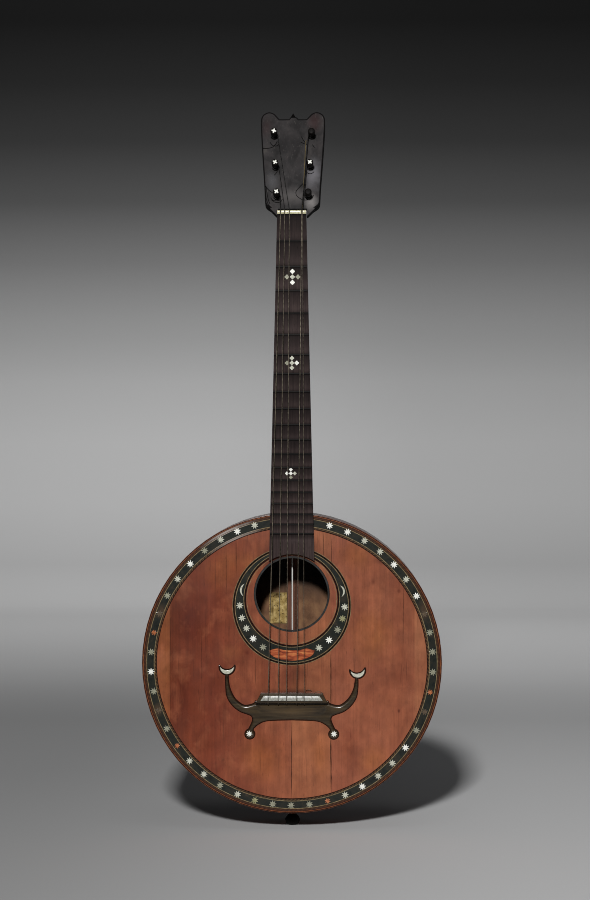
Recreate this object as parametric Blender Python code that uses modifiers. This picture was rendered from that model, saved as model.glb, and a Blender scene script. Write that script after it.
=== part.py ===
"""Round-bodied guitar: lyre bridge, star border, rosette, tilted head with six friction pegs.

Metres, +Z up. The guitar stands upright on its end pin, its face towards -Y.
Everything hangs from two empties. In guitar_frame, X runs across the face, Y up the
neck from the body's centre and Z out of the soundboard. In head_frame, Y runs up the
tilted head and Z stands square to its face.
"""

import bpy
import bmesh
from math import acos, asin, atan2, cos, pi, radians, sin, sqrt, tan
from mathutils import Matrix, Vector

# Clearances
FIT = 0.0003                    # between two pieces that are glued or let in
RUNNING = 0.0001                # round a peg where it turns in the head
STRING_TO_PEG = 0.0004          # between a peg and the turns wound round it

# Body
BODY_RADIUS = 0.199
BODY_DEPTH = 0.090
BOARD_THICKNESS = 0.003
BACK_THICKNESS = 0.003
RIM_THICKNESS = 0.0022
BINDING_WIDTH = 0.006
LINING_WIDTH = 0.006
LINING_HEIGHT = 0.009
INLAY_DEPTH = 0.0012
STAR_BAND_WIDTH = 0.0135

# Soundhole and rosette, places measured up from the body's centre
HOLE_RADIUS = 0.0477
HOLE_RING_WIDTH = 0.0025
HOLE_PLACE = 0.0919
ROSETTE_OUTER_RADIUS = 0.078
ROSETTE_OUTER_PLACE = 0.076
ROSETTE_INNER_RADIUS = 0.061
ROSETTE_INNER_PLACE = 0.0849
INSET_TOP_HALF = ((0, 0.0170), (0.0110, 0.0175), (0.0195, 0.0196), (0.0303, 0.0168))
INSET_BELLY_HALF = (
    (0.0303, 0.0168), (0.0280, 0.0118), (0.0226, 0.0080), (0.0130, 0.0047), (0, 0.0036),
)

# Inside the body
BLOCK_WIDTH = 0.070
BLOCK_DEPTH = 0.032
ROD_RADIUS = 0.0014
ROD_BELOW_FACE = 0.034
ROD_SEAT = 0.012
BRACE_WIDTH = 0.007
BRACE_HEIGHT = 0.013
BRACE_END_GAP = 0.004
BRACE_SCOOP = 0.16              # share of half a brace that its scooped end takes
BRACE_TIP = 0.35                # share of a brace's height that is left at its end
TOP_BRACE_TO_BLOCK = 0.0093
BACK_BRACE_TO_BLOCK = 0.0113
LOWER_TOP_BRACE = 0.012
LOWER_BACK_BRACE = -0.070
STRIP_WIDTH = 0.015
STRIP_THICKNESS = 0.002
LABEL_WIDTH = 0.0245
LABEL_HEIGHT = 0.042
LABEL_THICKNESS = 0.0004
LABEL_PLACE = 0.0673
BRIDGE_PLATE_HALF_WIDTH = 0.052
BRIDGE_PLATE_HEIGHT = 0.034
BRIDGE_PLATE_THICKNESS = 0.0025

# End pin; the button's profile is radius and height above its foot
PIN_REACH = 0.0220
PIN_SHANK_RADIUS = 0.0042
PIN_SEAT = 0.014
PIN_BUTTON = (
    (0.0066, 0.0217), (0.0056, 0.0190), (0.0048, 0.0150), (0.0085, 0.0115), (0.0104, 0.0078),
    (0.0088, 0.0025), (0.0060, 0),
)

# Neck, fingerboard and frets
SCALE_LENGTH = 0.635
SADDLE_SETBACK = 0.0021         # added to the scale so that stopped strings stay in tune
NUT_WIDTH = 0.0387
NUT_THICKNESS = 0.0050
NUT_RISE = 0.0017
JOINT_WIDTH = 0.057
NECK_DEPTH_AT_NUT = 0.0155
NECK_DEPTH_AT_HEEL = 0.0195
NECK_FULLNESS = 0.8             # below 1 fills out the round of the neck's back
HEEL_LENGTH = 0.052
HEEL_FOOT_WIDTH = 0.034
HEEL_OVERRUN = 0.012            # blank left inside the rim's curve, cut off there
HEEL_RINGS = (                  # share of the heel's length, share of its depth
    (0.10, 1.0), (0.20, 0.94), (0.32, 0.78), (0.48, 0.55), (0.66, 0.36), (0.84, 0.26),
)
SHAFT_RINGS = (                 # share of the shaft's length, share of the head's lean
    (0.0, 0.0), (0.35, 0.0), (0.7, 0.06), (1.0, 1.0),
)
FINGERBOARD_THICKNESS = 0.005
FINGERBOARD_TO_HOLE = 0.0025
FRET_COUNT = 19
FRET_CROWN_WIDTH = 0.0021
FRET_CROWN_HEIGHT = 0.0011
FRET_SHOULDER = (0.9, 0.6)      # shares of the crown's half width and height
FRET_FLAT = 0.4                 # share of the crown's half width that is flat on top
FRET_TANG_WIDTH = 0.0008
FRET_TANG_DEPTH = 0.0016

# Head
HEAD_TILT = radians(15)
HEAD_THICKNESS = 0.015
HEAD_STEP = 0.0025
HEAD_OFFSET = 0.0010
HEAD_RIGHT_HALF = (
    (0.0253, 0), (0.0302, 0.0032), (0.0349, 0.0072), (0.0366, 0.0130), (0.0376, 0.0330),
    (0.0407, 0.0780), (0.0430, 0.1220), (0.0413, 0.1337), (0.0368, 0.1380), (0.0314, 0.1396),
    (0.0255, 0.1374), (0.0215, 0.1332), (0.0182, 0.1294),
)
HEAD_BUMP = (                   # the low swelling in the notch, which carries the knob
    (0.0070, 0.1294), (0.0060, 0.1313), (0.0036, 0.1327), (-0.0028, 0.1327), (-0.0042, 0.1313),
    (-0.0050, 0.1294),
)
HEAD_BUMP_TOP = 0.1327
KNOB_PROFILE = (                # radius and height above the swelling
    (0, 0.0082), (0.0010, 0.0064), (0.0033, 0.0022), (0.0026, 0.0012), (0.0024, 0), (0, 0),
)

# Pegs: each row's place up the head, and half the distance between its two pegs
PEG_ROWS = {"lower": (0.0185, 0.0210), "middle": (0.0600, 0.0231), "upper": (0.1045, 0.0250)}
PEGS = {
    "peg_low_e": ("left", "lower"), "peg_a": ("left", "middle"), "peg_d": ("left", "upper"),
    "peg_g": ("right", "upper"), "peg_b": ("right", "middle"), "peg_high_e": ("right", "lower"),
}
PEG_SHAFT_RADIUS = 0.0034
PEG_BACK_RADIUS = 0.0041
PEG_TIP_RADIUS = 0.0045
PEG_TIP_START = 0.0085
PEG_TIP_EDGE = 0.0010
PEG_REACH = 0.0200
PEG_COLLAR_RADIUS = 0.0058
PEG_COLLAR_FOOT_RADIUS = 0.0049
PEG_COLLAR_THICKNESS = 0.003
PEG_GRIP_LENGTH = 0.021
PEG_GRIP_RINGS = (              # share of the grip's length, half width, half thickness
    (0.06, 0.0041, 0.0030), (0.18, 0.0062, 0.0030), (0.40, 0.0095, 0.0030),
    (0.62, 0.0100, 0.0027), (0.85, 0.0072, 0.0022), (1.0, 0.0030, 0.0014),
)

# Bridge, the right half of its outline; places from the body's centre
BRIDGE_BASE = 0.0035
BRIDGE_RIDGE = 0.0062
BRIDGE_SEAT = 0.0094
SADDLE_PLACE = -0.0421
SADDLE_WIDTH = 0.0067
SADDLE_THICKNESS = 0.0016
SADDLE_HALF_LENGTH = 0.03895
SADDLE_SPREAD = 0.00215         # how much longer its lower edge is at each end
SEAT_HALF_LENGTH = 0.0477
SEAT_UPPER_HALF_LENGTH = 0.0410
SEAT_UPPER_MARGIN = 0.0028
SEAT_LOWER_MARGIN = 0.0033
GROOVE_WIDTH = 0.0030
RIDGE_RIGHT_HALF = ((0, -0.0718), (0.0340, -0.0690), (0.0455, -0.0625))
LOWER_EDGE = ((0, -0.0749), (0.0321, -0.0762), (0.0439, -0.0806), (0.0503, -0.0859))
ARM_OUTER_EDGE = (
    (0.0560, -0.0852), (0.0522, -0.0762), (0.0529, -0.0707), (0.0573, -0.0680),
    (0.0688, -0.0638), (0.0791, -0.0555), (0.0858, -0.0444), (0.0876, -0.0310),
    (0.0878, -0.0190),
)
ARM_INNER_EDGE = (
    (0.0843, -0.0190), (0.0824, -0.0319), (0.0769, -0.0445), (0.0699, -0.0519),
    (0.0617, -0.0560), (0.0503, -0.0533), (0.0425, -0.0389),
)
FOOT_PLACE = (0.0556, -0.0939)
FOOT_RADIUS = 0.0066
FOOT_ARC = (radians(130), radians(435))
MOON_PLACE = (0.0858, -0.0050)
MOON_RADIUS = 0.0107
MOON_BITE_RADIUS = 0.0116
MOON_BITE_RISE = 0.0081
MOON_STEM = radians(9)          # half the angle at which the arm meets the crescent
RIGHT_ARM_DROP = 0.0043
RIGHT_MOON_LEAN = radians(8)

# Strings from the bass side: name, diameter, place at nut, place at saddle, peg
STRINGS = (
    ("string_low_e", 0.00110, -0.0148, -0.0310, "peg_low_e"),
    ("string_a", 0.00095, -0.0092, -0.0177, "peg_a"),
    ("string_d", 0.00085, -0.0030, -0.0066, "peg_d"),
    ("string_g", 0.00095, 0.0132, 0.0069, "peg_g"),
    ("string_b", 0.00080, 0.0146, 0.0167, "peg_b"),
)
STRING_BEND = (                 # up the neck from the groove, out from the saddle's top
    (0, -0.0040), (0.0006, -0.0018), (0.0022, -0.0004),
)
REMNANT_DIAMETER = 0.0007
REMNANT_END = (0.0170, -0.0015)
NUT_TO_HEAD = 0.0020            # where a string leaves the nut, below the head's foot
WINDING_TURNS = 2
WINDING_TOP = 0.0056            # where a winding starts above the head's face
WINDING_GAP = 0.0005            # between neighbouring turns

# Fineness of round shapes
BODY_STEPS = 72
ROUND_STEPS = 48
BORE_STEPS = 16
PEG_STEPS = 12
LOOP_POINTS = 24

# Derived planes and places, all in guitar_frame
FACE = BODY_DEPTH / 2
BACK_FACE = -BODY_DEPTH / 2
BOARD_UNDERSIDE = FACE - BOARD_THICKNESS
BACK_INSIDE = BACK_FACE + BACK_THICKNESS
RIM_INSIDE = BODY_RADIUS - RIM_THICKNESS
BINDING_INSIDE = BODY_RADIUS - BINDING_WIDTH
LINING_INSIDE = RIM_INSIDE - FIT - LINING_WIDTH
STAR_BAND_INSIDE = BINDING_INSIDE - STAR_BAND_WIDTH
BODY_CENTRE_HEIGHT = PIN_REACH + BODY_RADIUS
HOLE_CUT_RADIUS = HOLE_RADIUS + HOLE_RING_WIDTH + FIT
FINGERBOARD_TOP = FACE + FIT + FINGERBOARD_THICKNESS
FINGERBOARD_END_RADIUS = HOLE_CUT_RADIUS + FINGERBOARD_TO_HOLE
NUT_TOP = FINGERBOARD_TOP + NUT_RISE
BRIDGE_FLOOR = FACE + FIT
SADDLE_TOP = BRIDGE_FLOOR + BRIDGE_SEAT + FIT + SADDLE_THICKNESS
STRING_GROOVE = SADDLE_PLACE - SADDLE_WIDTH - SEAT_LOWER_MARGIN - GROOVE_WIDTH / 2
BLOCK_INSIDE = RIM_INSIDE - BLOCK_DEPTH
UPPER_TOP_BRACE = BLOCK_INSIDE - TOP_BRACE_TO_BLOCK - BRACE_WIDTH / 2
UPPER_BACK_BRACE = BLOCK_INSIDE - BACK_BRACE_TO_BLOCK - BRACE_WIDTH / 2
NUT_PLACE = SADDLE_PLACE + SCALE_LENGTH + SADDLE_SETBACK
HEAD_PLANE = FACE + HEAD_STEP
HEAD_PLACE = NUT_PLACE + NUT_THICKNESS + FIT + HEAD_STEP * tan(HEAD_TILT)
HEAD_FOOT_HALF_WIDTH = HEAD_RIGHT_HALF[0][0]


def collection(name):
    """A new collection in the scene."""
    made = bpy.data.collections.new(name)
    bpy.context.scene.collection.children.link(made)
    return made


def finish(name, colour, roughness, metallic=0.0):
    """A plain Principled material."""
    material = bpy.data.materials.new(name)
    material.use_nodes = True
    shader = material.node_tree.nodes["Principled BSDF"]
    shader.inputs["Base Color"].default_value = (*colour, 1.0)
    shader.inputs["Roughness"].default_value = roughness
    shader.inputs["Metallic"].default_value = metallic
    material.diffuse_color = (*colour, 1.0)
    return material


def place(obj, parent, material=None, home=None, location=(0, 0, 0), rotation=(0, 0, 0)):
    """Link an object under its frame, with its material."""
    (home or PARTS).objects.link(obj)
    obj.parent = parent
    obj.location = location
    obj.rotation_euler = rotation
    if material:
        obj.data.materials.append(material)
    return obj


def empty(name, parent, location, rotation):
    """A frame that other objects are placed in."""
    return place(bpy.data.objects.new(name, None), parent, location=location, rotation=rotation)


def arc(centre, radius, start, end, steps):
    """Points along an arc, both ends included."""
    angles = (start + (end - start) * step / steps for step in range(steps + 1))
    return [Vector((centre[0] + radius * cos(a), centre[1] + radius * sin(a))) for a in angles]


def circle(centre, radius, steps):
    """The corners of a round outline."""
    return arc(centre, radius, 0, 2 * pi, steps)[:-1]


def smooth_run(points, steps):
    """Points along a smooth curve through the given ones, both ends included."""
    knots = [Vector(p) for p in (points[0], *points, points[-1])]
    run = []
    for before, here, there, after in zip(knots, knots[1:], knots[2:], knots[3:]):
        for step in range(steps):
            t = step / steps
            bend = 2 * before - 5 * here + 4 * there - after
            twist = 3 * here - before - 3 * there + after
            run.append((2 * here + (there - before) * t + bend * t ** 2 + twist * t ** 3) / 2)
    return run + [knots[-1]]


def plate(name, outlines, bottom, top, parent, material=None, home=None, **where):
    """A flat piece from one outline, or from an outline and its holes."""
    curve = bpy.data.curves.new(name, "CURVE")
    curve.dimensions = "2D"
    curve.fill_mode = "BOTH"
    curve.extrude = (top - bottom) / 2
    for outline in outlines:
        spline = curve.splines.new("POLY")
        spline.points.add(len(outline) - 1)
        for point, corner in zip(spline.points, outline):
            point.co = (corner[0], corner[1], 0, 1)
        spline.use_cyclic_u = True
    flat = place(bpy.data.objects.new(name, curve), parent, material, home, **where)
    flat.location += flat.rotation_euler.to_matrix() @ Vector((0, 0, (top + bottom) / 2))
    return flat


def as_mesh(flat):
    """Turn a curve object into a closed mesh object of the same name and place."""
    bpy.context.view_layer.update()
    graph = bpy.context.evaluated_depsgraph_get()
    mesh = bpy.data.meshes.new_from_object(flat.evaluated_get(graph))
    shape = bmesh.new()
    shape.from_mesh(mesh)
    bmesh.ops.remove_doubles(shape, verts=shape.verts, dist=1e-6)
    shape.to_mesh(mesh)
    shape.free()
    name, home, parent = flat.name, flat.users_collection[0], flat.parent
    location, rotation = flat.location.copy(), flat.rotation_euler.copy()
    bpy.data.objects.remove(flat)
    mesh.name = name
    solid = bpy.data.objects.new(name, mesh)
    return place(solid, parent, None, home, location, rotation)


def solid_plate(*args, **options):
    """A plate made a mesh at once, for cutting or being cut."""
    return as_mesh(plate(*args, **options))


def turned(name, profile, steps, parent, material=None, home=None, closed=False, **where):
    """A turned piece; the profile of radius and height runs down its outer side."""
    mesh = bpy.data.meshes.new(name)
    edges = [(i, i + 1) for i in range(len(profile) - 1)]
    if closed:
        edges.append((len(profile) - 1, 0))
    mesh.from_pydata([(radius, 0, height) for radius, height in profile], edges, [])
    obj = place(bpy.data.objects.new(name, mesh), parent, material, home, **where)
    screw = obj.modifiers.new("turn", "SCREW")
    screw.steps = steps
    screw.render_steps = steps
    screw.use_merge_vertices = True
    screw.merge_threshold = 1e-5
    screw.use_smooth_shade = False
    return obj


def loft(name, rings, parent, material=None, home=None, **where):
    """A solid through like-numbered rings of points, closed at both ends."""
    shape = bmesh.new()
    rows = [[shape.verts.new(point) for point in ring] for ring in rings]
    for row, after in zip(rows, rows[1:]):
        for i in range(len(row)):
            j = (i + 1) % len(row)
            shape.faces.new((row[i], row[j], after[j], after[i]))
    shape.faces.new(rows[0])
    shape.faces.new(list(reversed(rows[-1])))
    bmesh.ops.recalc_face_normals(shape, faces=shape.faces)
    mesh = bpy.data.meshes.new(name)
    shape.to_mesh(mesh)
    shape.free()
    return place(bpy.data.objects.new(name, mesh), parent, material, home, **where)


def tube(name, points, diameter, parent, material):
    """A wire through hand-set or computed points."""
    curve = bpy.data.curves.new(name, "CURVE")
    curve.dimensions = "3D"
    curve.bevel_depth = diameter / 2
    curve.bevel_resolution = 1
    curve.use_fill_caps = True
    spline = curve.splines.new("POLY")
    spline.points.add(len(points) - 1)
    for point, at in zip(spline.points, points):
        point.co = (*at, 1)
    return place(bpy.data.objects.new(name, curve), parent, material)


def boolean(target, tool, operation="DIFFERENCE"):
    """Cut, join or trim a piece with a hidden tool."""
    tool.hide_render = True
    tool.display_type = "WIRE"
    step = target.modifiers.new(operation.lower(), "BOOLEAN")
    step.operation = operation
    step.object = tool


def ring_plate(name, inner, outer, bottom, top, material):
    """A flat ring round the body's axis."""
    outlines = [circle((0, 0), outer, BODY_STEPS), circle((0, 0), inner, BODY_STEPS)]
    return plate(name, outlines, bottom, top, GUITAR, material)


def box_outline(left, right, low, high):
    """The corners of a rectangle."""
    return [(left, low), (right, low), (right, high), (left, high)]


def body_cutter(name, radius):
    """A round tool with the rim's own facets, longer than the body is deep."""
    return solid_plate(name, [circle((0, 0), radius, BODY_STEPS)], BACK_FACE - BODY_DEPTH,
                       FACE + BODY_DEPTH, GUITAR, home=CUTTERS)


def round_cutter(name, radius, length, parent, **where):
    """A round tool about its own Z, its flats at the given radius."""
    corner = radius / cos(pi / BORE_STEPS)
    return solid_plate(name, [circle((0, 0), corner, BORE_STEPS)], -length / 2, length / 2,
                       parent, home=CUTTERS, **where)


def make_soundboard():
    """The face: a disc rebated for the star border, with its hole and rosette bed."""
    bed = FACE - INLAY_DEPTH
    board_edge = BINDING_INSIDE - FIT
    rebate = STAR_BAND_INSIDE - FIT
    profile = [(0, FACE), (rebate, FACE), (rebate, bed), (board_edge, bed),
               (board_edge, BOARD_UNDERSIDE), (0, BOARD_UNDERSIDE)]
    board = turned("soundboard", profile, BODY_STEPS, GUITAR, CEDAR)
    hole = solid_plate("hole_cutter", [circle((0, HOLE_PLACE), HOLE_CUT_RADIUS, ROUND_STEPS)],
                       BACK_INSIDE, FACE + BOARD_THICKNESS, GUITAR, home=CUTTERS)
    channel = solid_plate("rosette_cutter", rosette_rings(FIT), bed, FACE + BOARD_THICKNESS,
                          GUITAR, home=CUTTERS)
    boolean(board, hole)
    boolean(board, channel)
    ring = [circle((0, HOLE_PLACE), radius, ROUND_STEPS)
            for radius in (HOLE_CUT_RADIUS - FIT, HOLE_RADIUS)]
    plate("soundhole_ring", ring, BOARD_UNDERSIDE, FACE, GUITAR, HORN)


def rosette_rings(margin):
    """The eccentric band's outer and inner circles, wider by a margin each way."""
    return [circle((0, ROSETTE_OUTER_PLACE), ROSETTE_OUTER_RADIUS + margin, ROUND_STEPS),
            circle((0, ROSETTE_INNER_PLACE), ROSETTE_INNER_RADIUS - margin, ROUND_STEPS)]


def inset_outline(margin):
    """The tortoise inset below the hole: two tips, raised shoulders and a round belly."""
    top = [(-x, y) for x, y in reversed(INSET_TOP_HALF)] + [*INSET_TOP_HALF[1:]]
    belly = [*INSET_BELLY_HALF] + [(-x, y) for x, y in reversed(INSET_BELLY_HALF[:-1])]
    centre = (Vector(INSET_TOP_HALF[0]) + Vector(INSET_BELLY_HALF[-1])) / 2
    run = smooth_run(top, 3)[:-1] + smooth_run(belly, 3)[:-1]
    return [point + (point - centre).normalized() * margin for point in run]


def make_inlays():
    """The star border, the rosette's dark band and its tortoise inset."""
    bed = FACE - INLAY_DEPTH + FIT
    ring_plate("star_border", STAR_BAND_INSIDE, BINDING_INSIDE - FIT, bed, FACE, EBONY)
    plate("rosette_band", [*rosette_rings(0), inset_outline(FIT)], bed, FACE, GUITAR, EBONY)
    plate("rosette_inset", [inset_outline(0)], bed, FACE, GUITAR, TORTOISE)


def make_shell():
    """The back, the bent rim and the bindings and linings at its two edges."""
    back_edge = BINDING_INSIDE - FIT
    turned("back", [(0, BACK_INSIDE), (back_edge, BACK_INSIDE), (back_edge, BACK_FACE),
                    (0, BACK_FACE)], BODY_STEPS, GUITAR, ROSEWOOD)
    ring_plate("top_binding", BINDING_INSIDE, BODY_RADIUS, BOARD_UNDERSIDE, FACE, WALNUT)
    ring_plate("back_binding", BINDING_INSIDE, BODY_RADIUS, BACK_FACE, BACK_INSIDE, WALNUT)
    rim = as_mesh(ring_plate("rim", RIM_INSIDE, BODY_RADIUS, BACK_INSIDE + FIT,
                             BOARD_UNDERSIDE - FIT, ROSEWOOD))
    boolean(rim, PIN_CUTTER)
    lining_outside = RIM_INSIDE - FIT
    ring_plate("top_lining", LINING_INSIDE, lining_outside,
               BOARD_UNDERSIDE - FIT - LINING_HEIGHT, BOARD_UNDERSIDE - FIT, SPRUCE)
    ring_plate("back_lining", LINING_INSIDE, lining_outside,
               BACK_INSIDE + FIT, BACK_INSIDE + FIT + LINING_HEIGHT, SPRUCE)


def make_blocks():
    """The neck block and the tail block, between the linings, and the rod that ties them."""
    low = BACK_INSIDE + LINING_HEIGHT + 2 * FIT
    high = BOARD_UNDERSIDE - LINING_HEIGHT - 2 * FIT
    trim = body_cutter("block_trimmer", RIM_INSIDE - FIT)
    rod_height = FACE - ROD_BELOW_FACE
    rod_half = BLOCK_INSIDE + ROD_SEAT
    bore = round_cutter("rod_bore", ROD_RADIUS + FIT, 2 * (rod_half + FIT), GUITAR,
                        location=(0, 0, rod_height), rotation=(-pi / 2, 0, 0))
    for name, side in (("neck_block", 1), ("tail_block", -1)):
        ends = sorted((side * BLOCK_INSIDE, side * BODY_RADIUS))
        outline = box_outline(-BLOCK_WIDTH / 2, BLOCK_WIDTH / 2, *ends)
        block = solid_plate(name, [outline], low, high, GUITAR, SPRUCE)
        boolean(block, trim, "INTERSECT")
        boolean(block, bore)
        if side < 0:
            boolean(block, PIN_CUTTER)
    turned("tension_rod", [(0, rod_half), (ROD_RADIUS, rod_half), (ROD_RADIUS, -rod_half),
                           (0, -rod_half)], PEG_STEPS, GUITAR, STEEL,
           location=(0, 0, rod_height), rotation=(-pi / 2, 0, 0))


def brace(name, middle, low, high, taper_up):
    """A bar across the inside, as long as the linings allow, its ends scooped down."""
    reach = middle + (BRACE_WIDTH / 2 if middle > 0 else -BRACE_WIDTH / 2)
    half = sqrt(LINING_INSIDE ** 2 - reach ** 2) - BRACE_END_GAP
    scoop = half * BRACE_SCOOP
    tip = (high - low) * BRACE_TIP
    if taper_up:
        outline = [(-half, low), (half, low), (half, low + tip), (half - scoop, high),
                   (scoop - half, high), (-half, low + tip)]
    else:
        outline = [(scoop - half, low), (half - scoop, low), (half, high - tip), (half, high),
                   (-half, high), (-half, high - tip)]
    standing = [(x, -height) for x, height in outline]
    return plate(name, [standing], -BRACE_WIDTH / 2, BRACE_WIDTH / 2, GUITAR, SPRUCE,
                 location=(0, middle, 0), rotation=(-pi / 2, 0, 0))


def make_inside():
    """Braces, the plate under the bridge, the strip along the back's joint and the label."""
    under = BOARD_UNDERSIDE - FIT
    over = BACK_INSIDE + FIT
    brace("top_brace_upper", UPPER_TOP_BRACE, under - BRACE_HEIGHT, under, False)
    brace("top_brace_lower", LOWER_TOP_BRACE, under - BRACE_HEIGHT, under, False)
    brace("back_brace_upper", UPPER_BACK_BRACE, over, over + BRACE_HEIGHT, True)
    brace("back_brace_lower", LOWER_BACK_BRACE, over, over + BRACE_HEIGHT, True)
    plate("bridge_plate", [box_outline(-BRIDGE_PLATE_HALF_WIDTH, BRIDGE_PLATE_HALF_WIDTH,
                                       SADDLE_PLACE - BRIDGE_PLATE_HEIGHT, SADDLE_PLACE)],
          under - BRIDGE_PLATE_THICKNESS, under, GUITAR, SPRUCE)
    half_strip = STRIP_WIDTH / 2
    strip_ends = (LOWER_BACK_BRACE + BRACE_WIDTH / 2 + FIT,
                  UPPER_BACK_BRACE - BRACE_WIDTH / 2 - FIT)
    plate("back_strip", [box_outline(-half_strip, half_strip, *strip_ends)],
          over, over + STRIP_THICKNESS, GUITAR, CEDAR)
    label_right = -half_strip - FIT
    plate("label", [box_outline(label_right - LABEL_WIDTH, label_right,
                                LABEL_PLACE - LABEL_HEIGHT / 2, LABEL_PLACE + LABEL_HEIGHT / 2)],
          over, over + LABEL_THICKNESS, GUITAR, PAPER)


def make_end_pin():
    """The turned button at the foot, its shank in the rim and the tail block."""
    top = -BODY_RADIUS + PIN_SEAT
    foot = -BODY_RADIUS - PIN_REACH
    shoulder = foot + PIN_BUTTON[0][1]
    profile = [(0, top), (PIN_SHANK_RADIUS, top), (PIN_SHANK_RADIUS, shoulder)]
    profile += [(radius, foot + height) for radius, height in PIN_BUTTON]
    turned("end_pin", profile + [(0, foot)], BORE_STEPS, GUITAR, EBONY,
           rotation=(-pi / 2, 0, 0))


def width_at(place_up):
    """Half the fingerboard's width at a place up the neck; it widens evenly from the nut."""
    share = (NUT_PLACE - place_up) / (NUT_PLACE - BODY_RADIUS)
    return (NUT_WIDTH + (JOINT_WIDTH - NUT_WIDTH) * share) / 2


def fret_place(number):
    """Equal temperament, measured down from the nut."""
    return NUT_PLACE - SCALE_LENGTH * (1 - 2 ** (-number / 12))


def half_round(half_width, depth, up, low_width, lean):
    """A ring of the neck: flat on top, round behind; its lean follows the tilted head."""
    ring = []
    for step in range(PEG_STEPS + 1):
        angle = pi * step / PEG_STEPS
        across = half_width * cos(angle)
        down = depth * sin(angle) ** NECK_FULLNESS
        narrowing = 1 - (1 - low_width / half_width) * down / depth
        ring.append((across * narrowing, up - lean * down, FACE - down))
    return ring


def make_neck():
    """Shaft and heel in one piece, hollowed to the rim's curve."""
    end = NUT_PLACE + NUT_THICKNESS
    heel_start = BODY_RADIUS + HEEL_LENGTH
    lean = tan(HEAD_TILT)
    heel_depth = BODY_DEPTH - BACK_THICKNESS
    foot = HEEL_FOOT_WIDTH / 2
    rings = [half_round(JOINT_WIDTH / 2, heel_depth, BODY_RADIUS - HEEL_OVERRUN, foot, 0)]
    for share, deep in HEEL_RINGS:
        up = BODY_RADIUS + share * HEEL_LENGTH
        low_width = foot + (width_at(up) - foot) * share
        rings.append(half_round(width_at(up), heel_depth * deep, up, low_width, 0))
    for share, lean_share in SHAFT_RINGS:
        up = heel_start + share * (NUT_PLACE - heel_start)
        deep = NECK_DEPTH_AT_HEEL + (NECK_DEPTH_AT_NUT - NECK_DEPTH_AT_HEEL) * share
        rings.append(half_round(width_at(up), deep, up, width_at(up), lean * lean_share))
    rings.append(half_round(HEAD_FOOT_HALF_WIDTH - 3 * FIT, HEAD_THICKNESS - HEAD_STEP, end,
                            HEAD_FOOT_HALF_WIDTH - 6 * FIT, lean))
    neck = loft("neck", rings, GUITAR, WALNUT)
    boolean(neck, body_cutter("neck_cutter", BODY_RADIUS + FIT))


def make_fingerboard():
    """The tapered board, hollowed round the soundhole, slotted for the frets."""
    low = HOLE_PLACE + FINGERBOARD_END_RADIUS / 2
    outline = [(-width_at(low), low), (width_at(low), low),
               (width_at(NUT_PLACE), NUT_PLACE), (-width_at(NUT_PLACE), NUT_PLACE)]
    board = solid_plate("fingerboard", [outline], FACE + FIT, FINGERBOARD_TOP, GUITAR, EBONY)
    end = solid_plate("fingerboard_end_cutter",
                      [circle((0, HOLE_PLACE), FINGERBOARD_END_RADIUS, ROUND_STEPS)],
                      FACE - BOARD_THICKNESS, NUT_TOP, GUITAR, home=CUTTERS)
    boolean(board, end)
    slot_size = Matrix.Diagonal((2 * JOINT_WIDTH, FRET_TANG_WIDTH + 2 * FIT,
                                 2 * FRET_TANG_DEPTH, 1))
    slots = bmesh.new()
    for number in range(1, FRET_COUNT + 1):
        middle = Matrix.Translation((0, fret_place(number), FINGERBOARD_TOP))
        bmesh.ops.create_cube(slots, size=1, matrix=middle @ slot_size)
    mesh = bpy.data.meshes.new("slot_cutter")
    slots.to_mesh(mesh)
    slots.free()
    slot_tool = place(bpy.data.objects.new("slot_cutter", mesh), GUITAR, None, CUTTERS)
    boolean(board, slot_tool)
    for number in range(1, FRET_COUNT + 1):
        make_fret(number)
    box_nut = box_outline(-NUT_WIDTH / 2, NUT_WIDTH / 2, NUT_PLACE + FIT, NUT_PLACE + NUT_THICKNESS)
    plate("nut", [box_nut], FACE + FIT, NUT_TOP, GUITAR, BONE)


def make_fret(number):
    """A T-shaped bar: a low crown on the board and a tang in its slot."""
    crown = FRET_CROWN_WIDTH / 2
    tang = FRET_TANG_WIDTH / 2
    shoulder = (crown * FRET_SHOULDER[0], FRET_CROWN_HEIGHT * FRET_SHOULDER[1])
    half_profile = [(tang, FIT - FRET_TANG_DEPTH), (tang, FIT), (crown, FIT), shoulder,
                    (crown * FRET_FLAT, FRET_CROWN_HEIGHT)]
    profile = half_profile + [(-x, y) for x, y in reversed(half_profile)]
    up = fret_place(number)
    half = width_at(up) - FIT
    plate(f"fret_{number:02d}", [profile], -half, half, GUITAR, BRASS,
          location=(0, up, FINGERBOARD_TOP), rotation=(pi / 2, 0, pi / 2))


def head_outline():
    """Shoulders, slightly spreading sides, two round lobes and the notch between them."""
    half = smooth_run(HEAD_RIGHT_HALF, 3)
    bump = [Vector(point) for point in HEAD_BUMP]
    return half + bump + [Vector((-point.x, point.y)) for point in reversed(half)]


def peg_side(name):
    """Which way a peg lies from the head's middle line."""
    return -1 if PEGS[name][0] == "left" else 1


def peg_place(name):
    """A peg's place on the head's face."""
    up, half_spacing = PEG_ROWS[PEGS[name][1]]
    return Vector((peg_side(name) * half_spacing, up))


def make_head():
    """The tilted head, drilled for its pegs, and the small finial in its notch."""
    head = solid_plate("headstock", [head_outline()], -HEAD_THICKNESS, 0, HEAD, EBONISED)
    for name in PEGS:
        bore = round_cutter(name + "_bore", PEG_BACK_RADIUS + RUNNING, 3 * HEAD_THICKNESS, HEAD,
                            location=(*peg_place(name), -HEAD_THICKNESS / 2))
        boolean(head, bore)
    turned("head_knob", KNOB_PROFILE, PEG_STEPS, HEAD, EBONY, rotation=(-pi / 2, 0, 0),
           location=(0, HEAD_BUMP_TOP + FIT, -HEAD_THICKNESS / 2))


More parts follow.
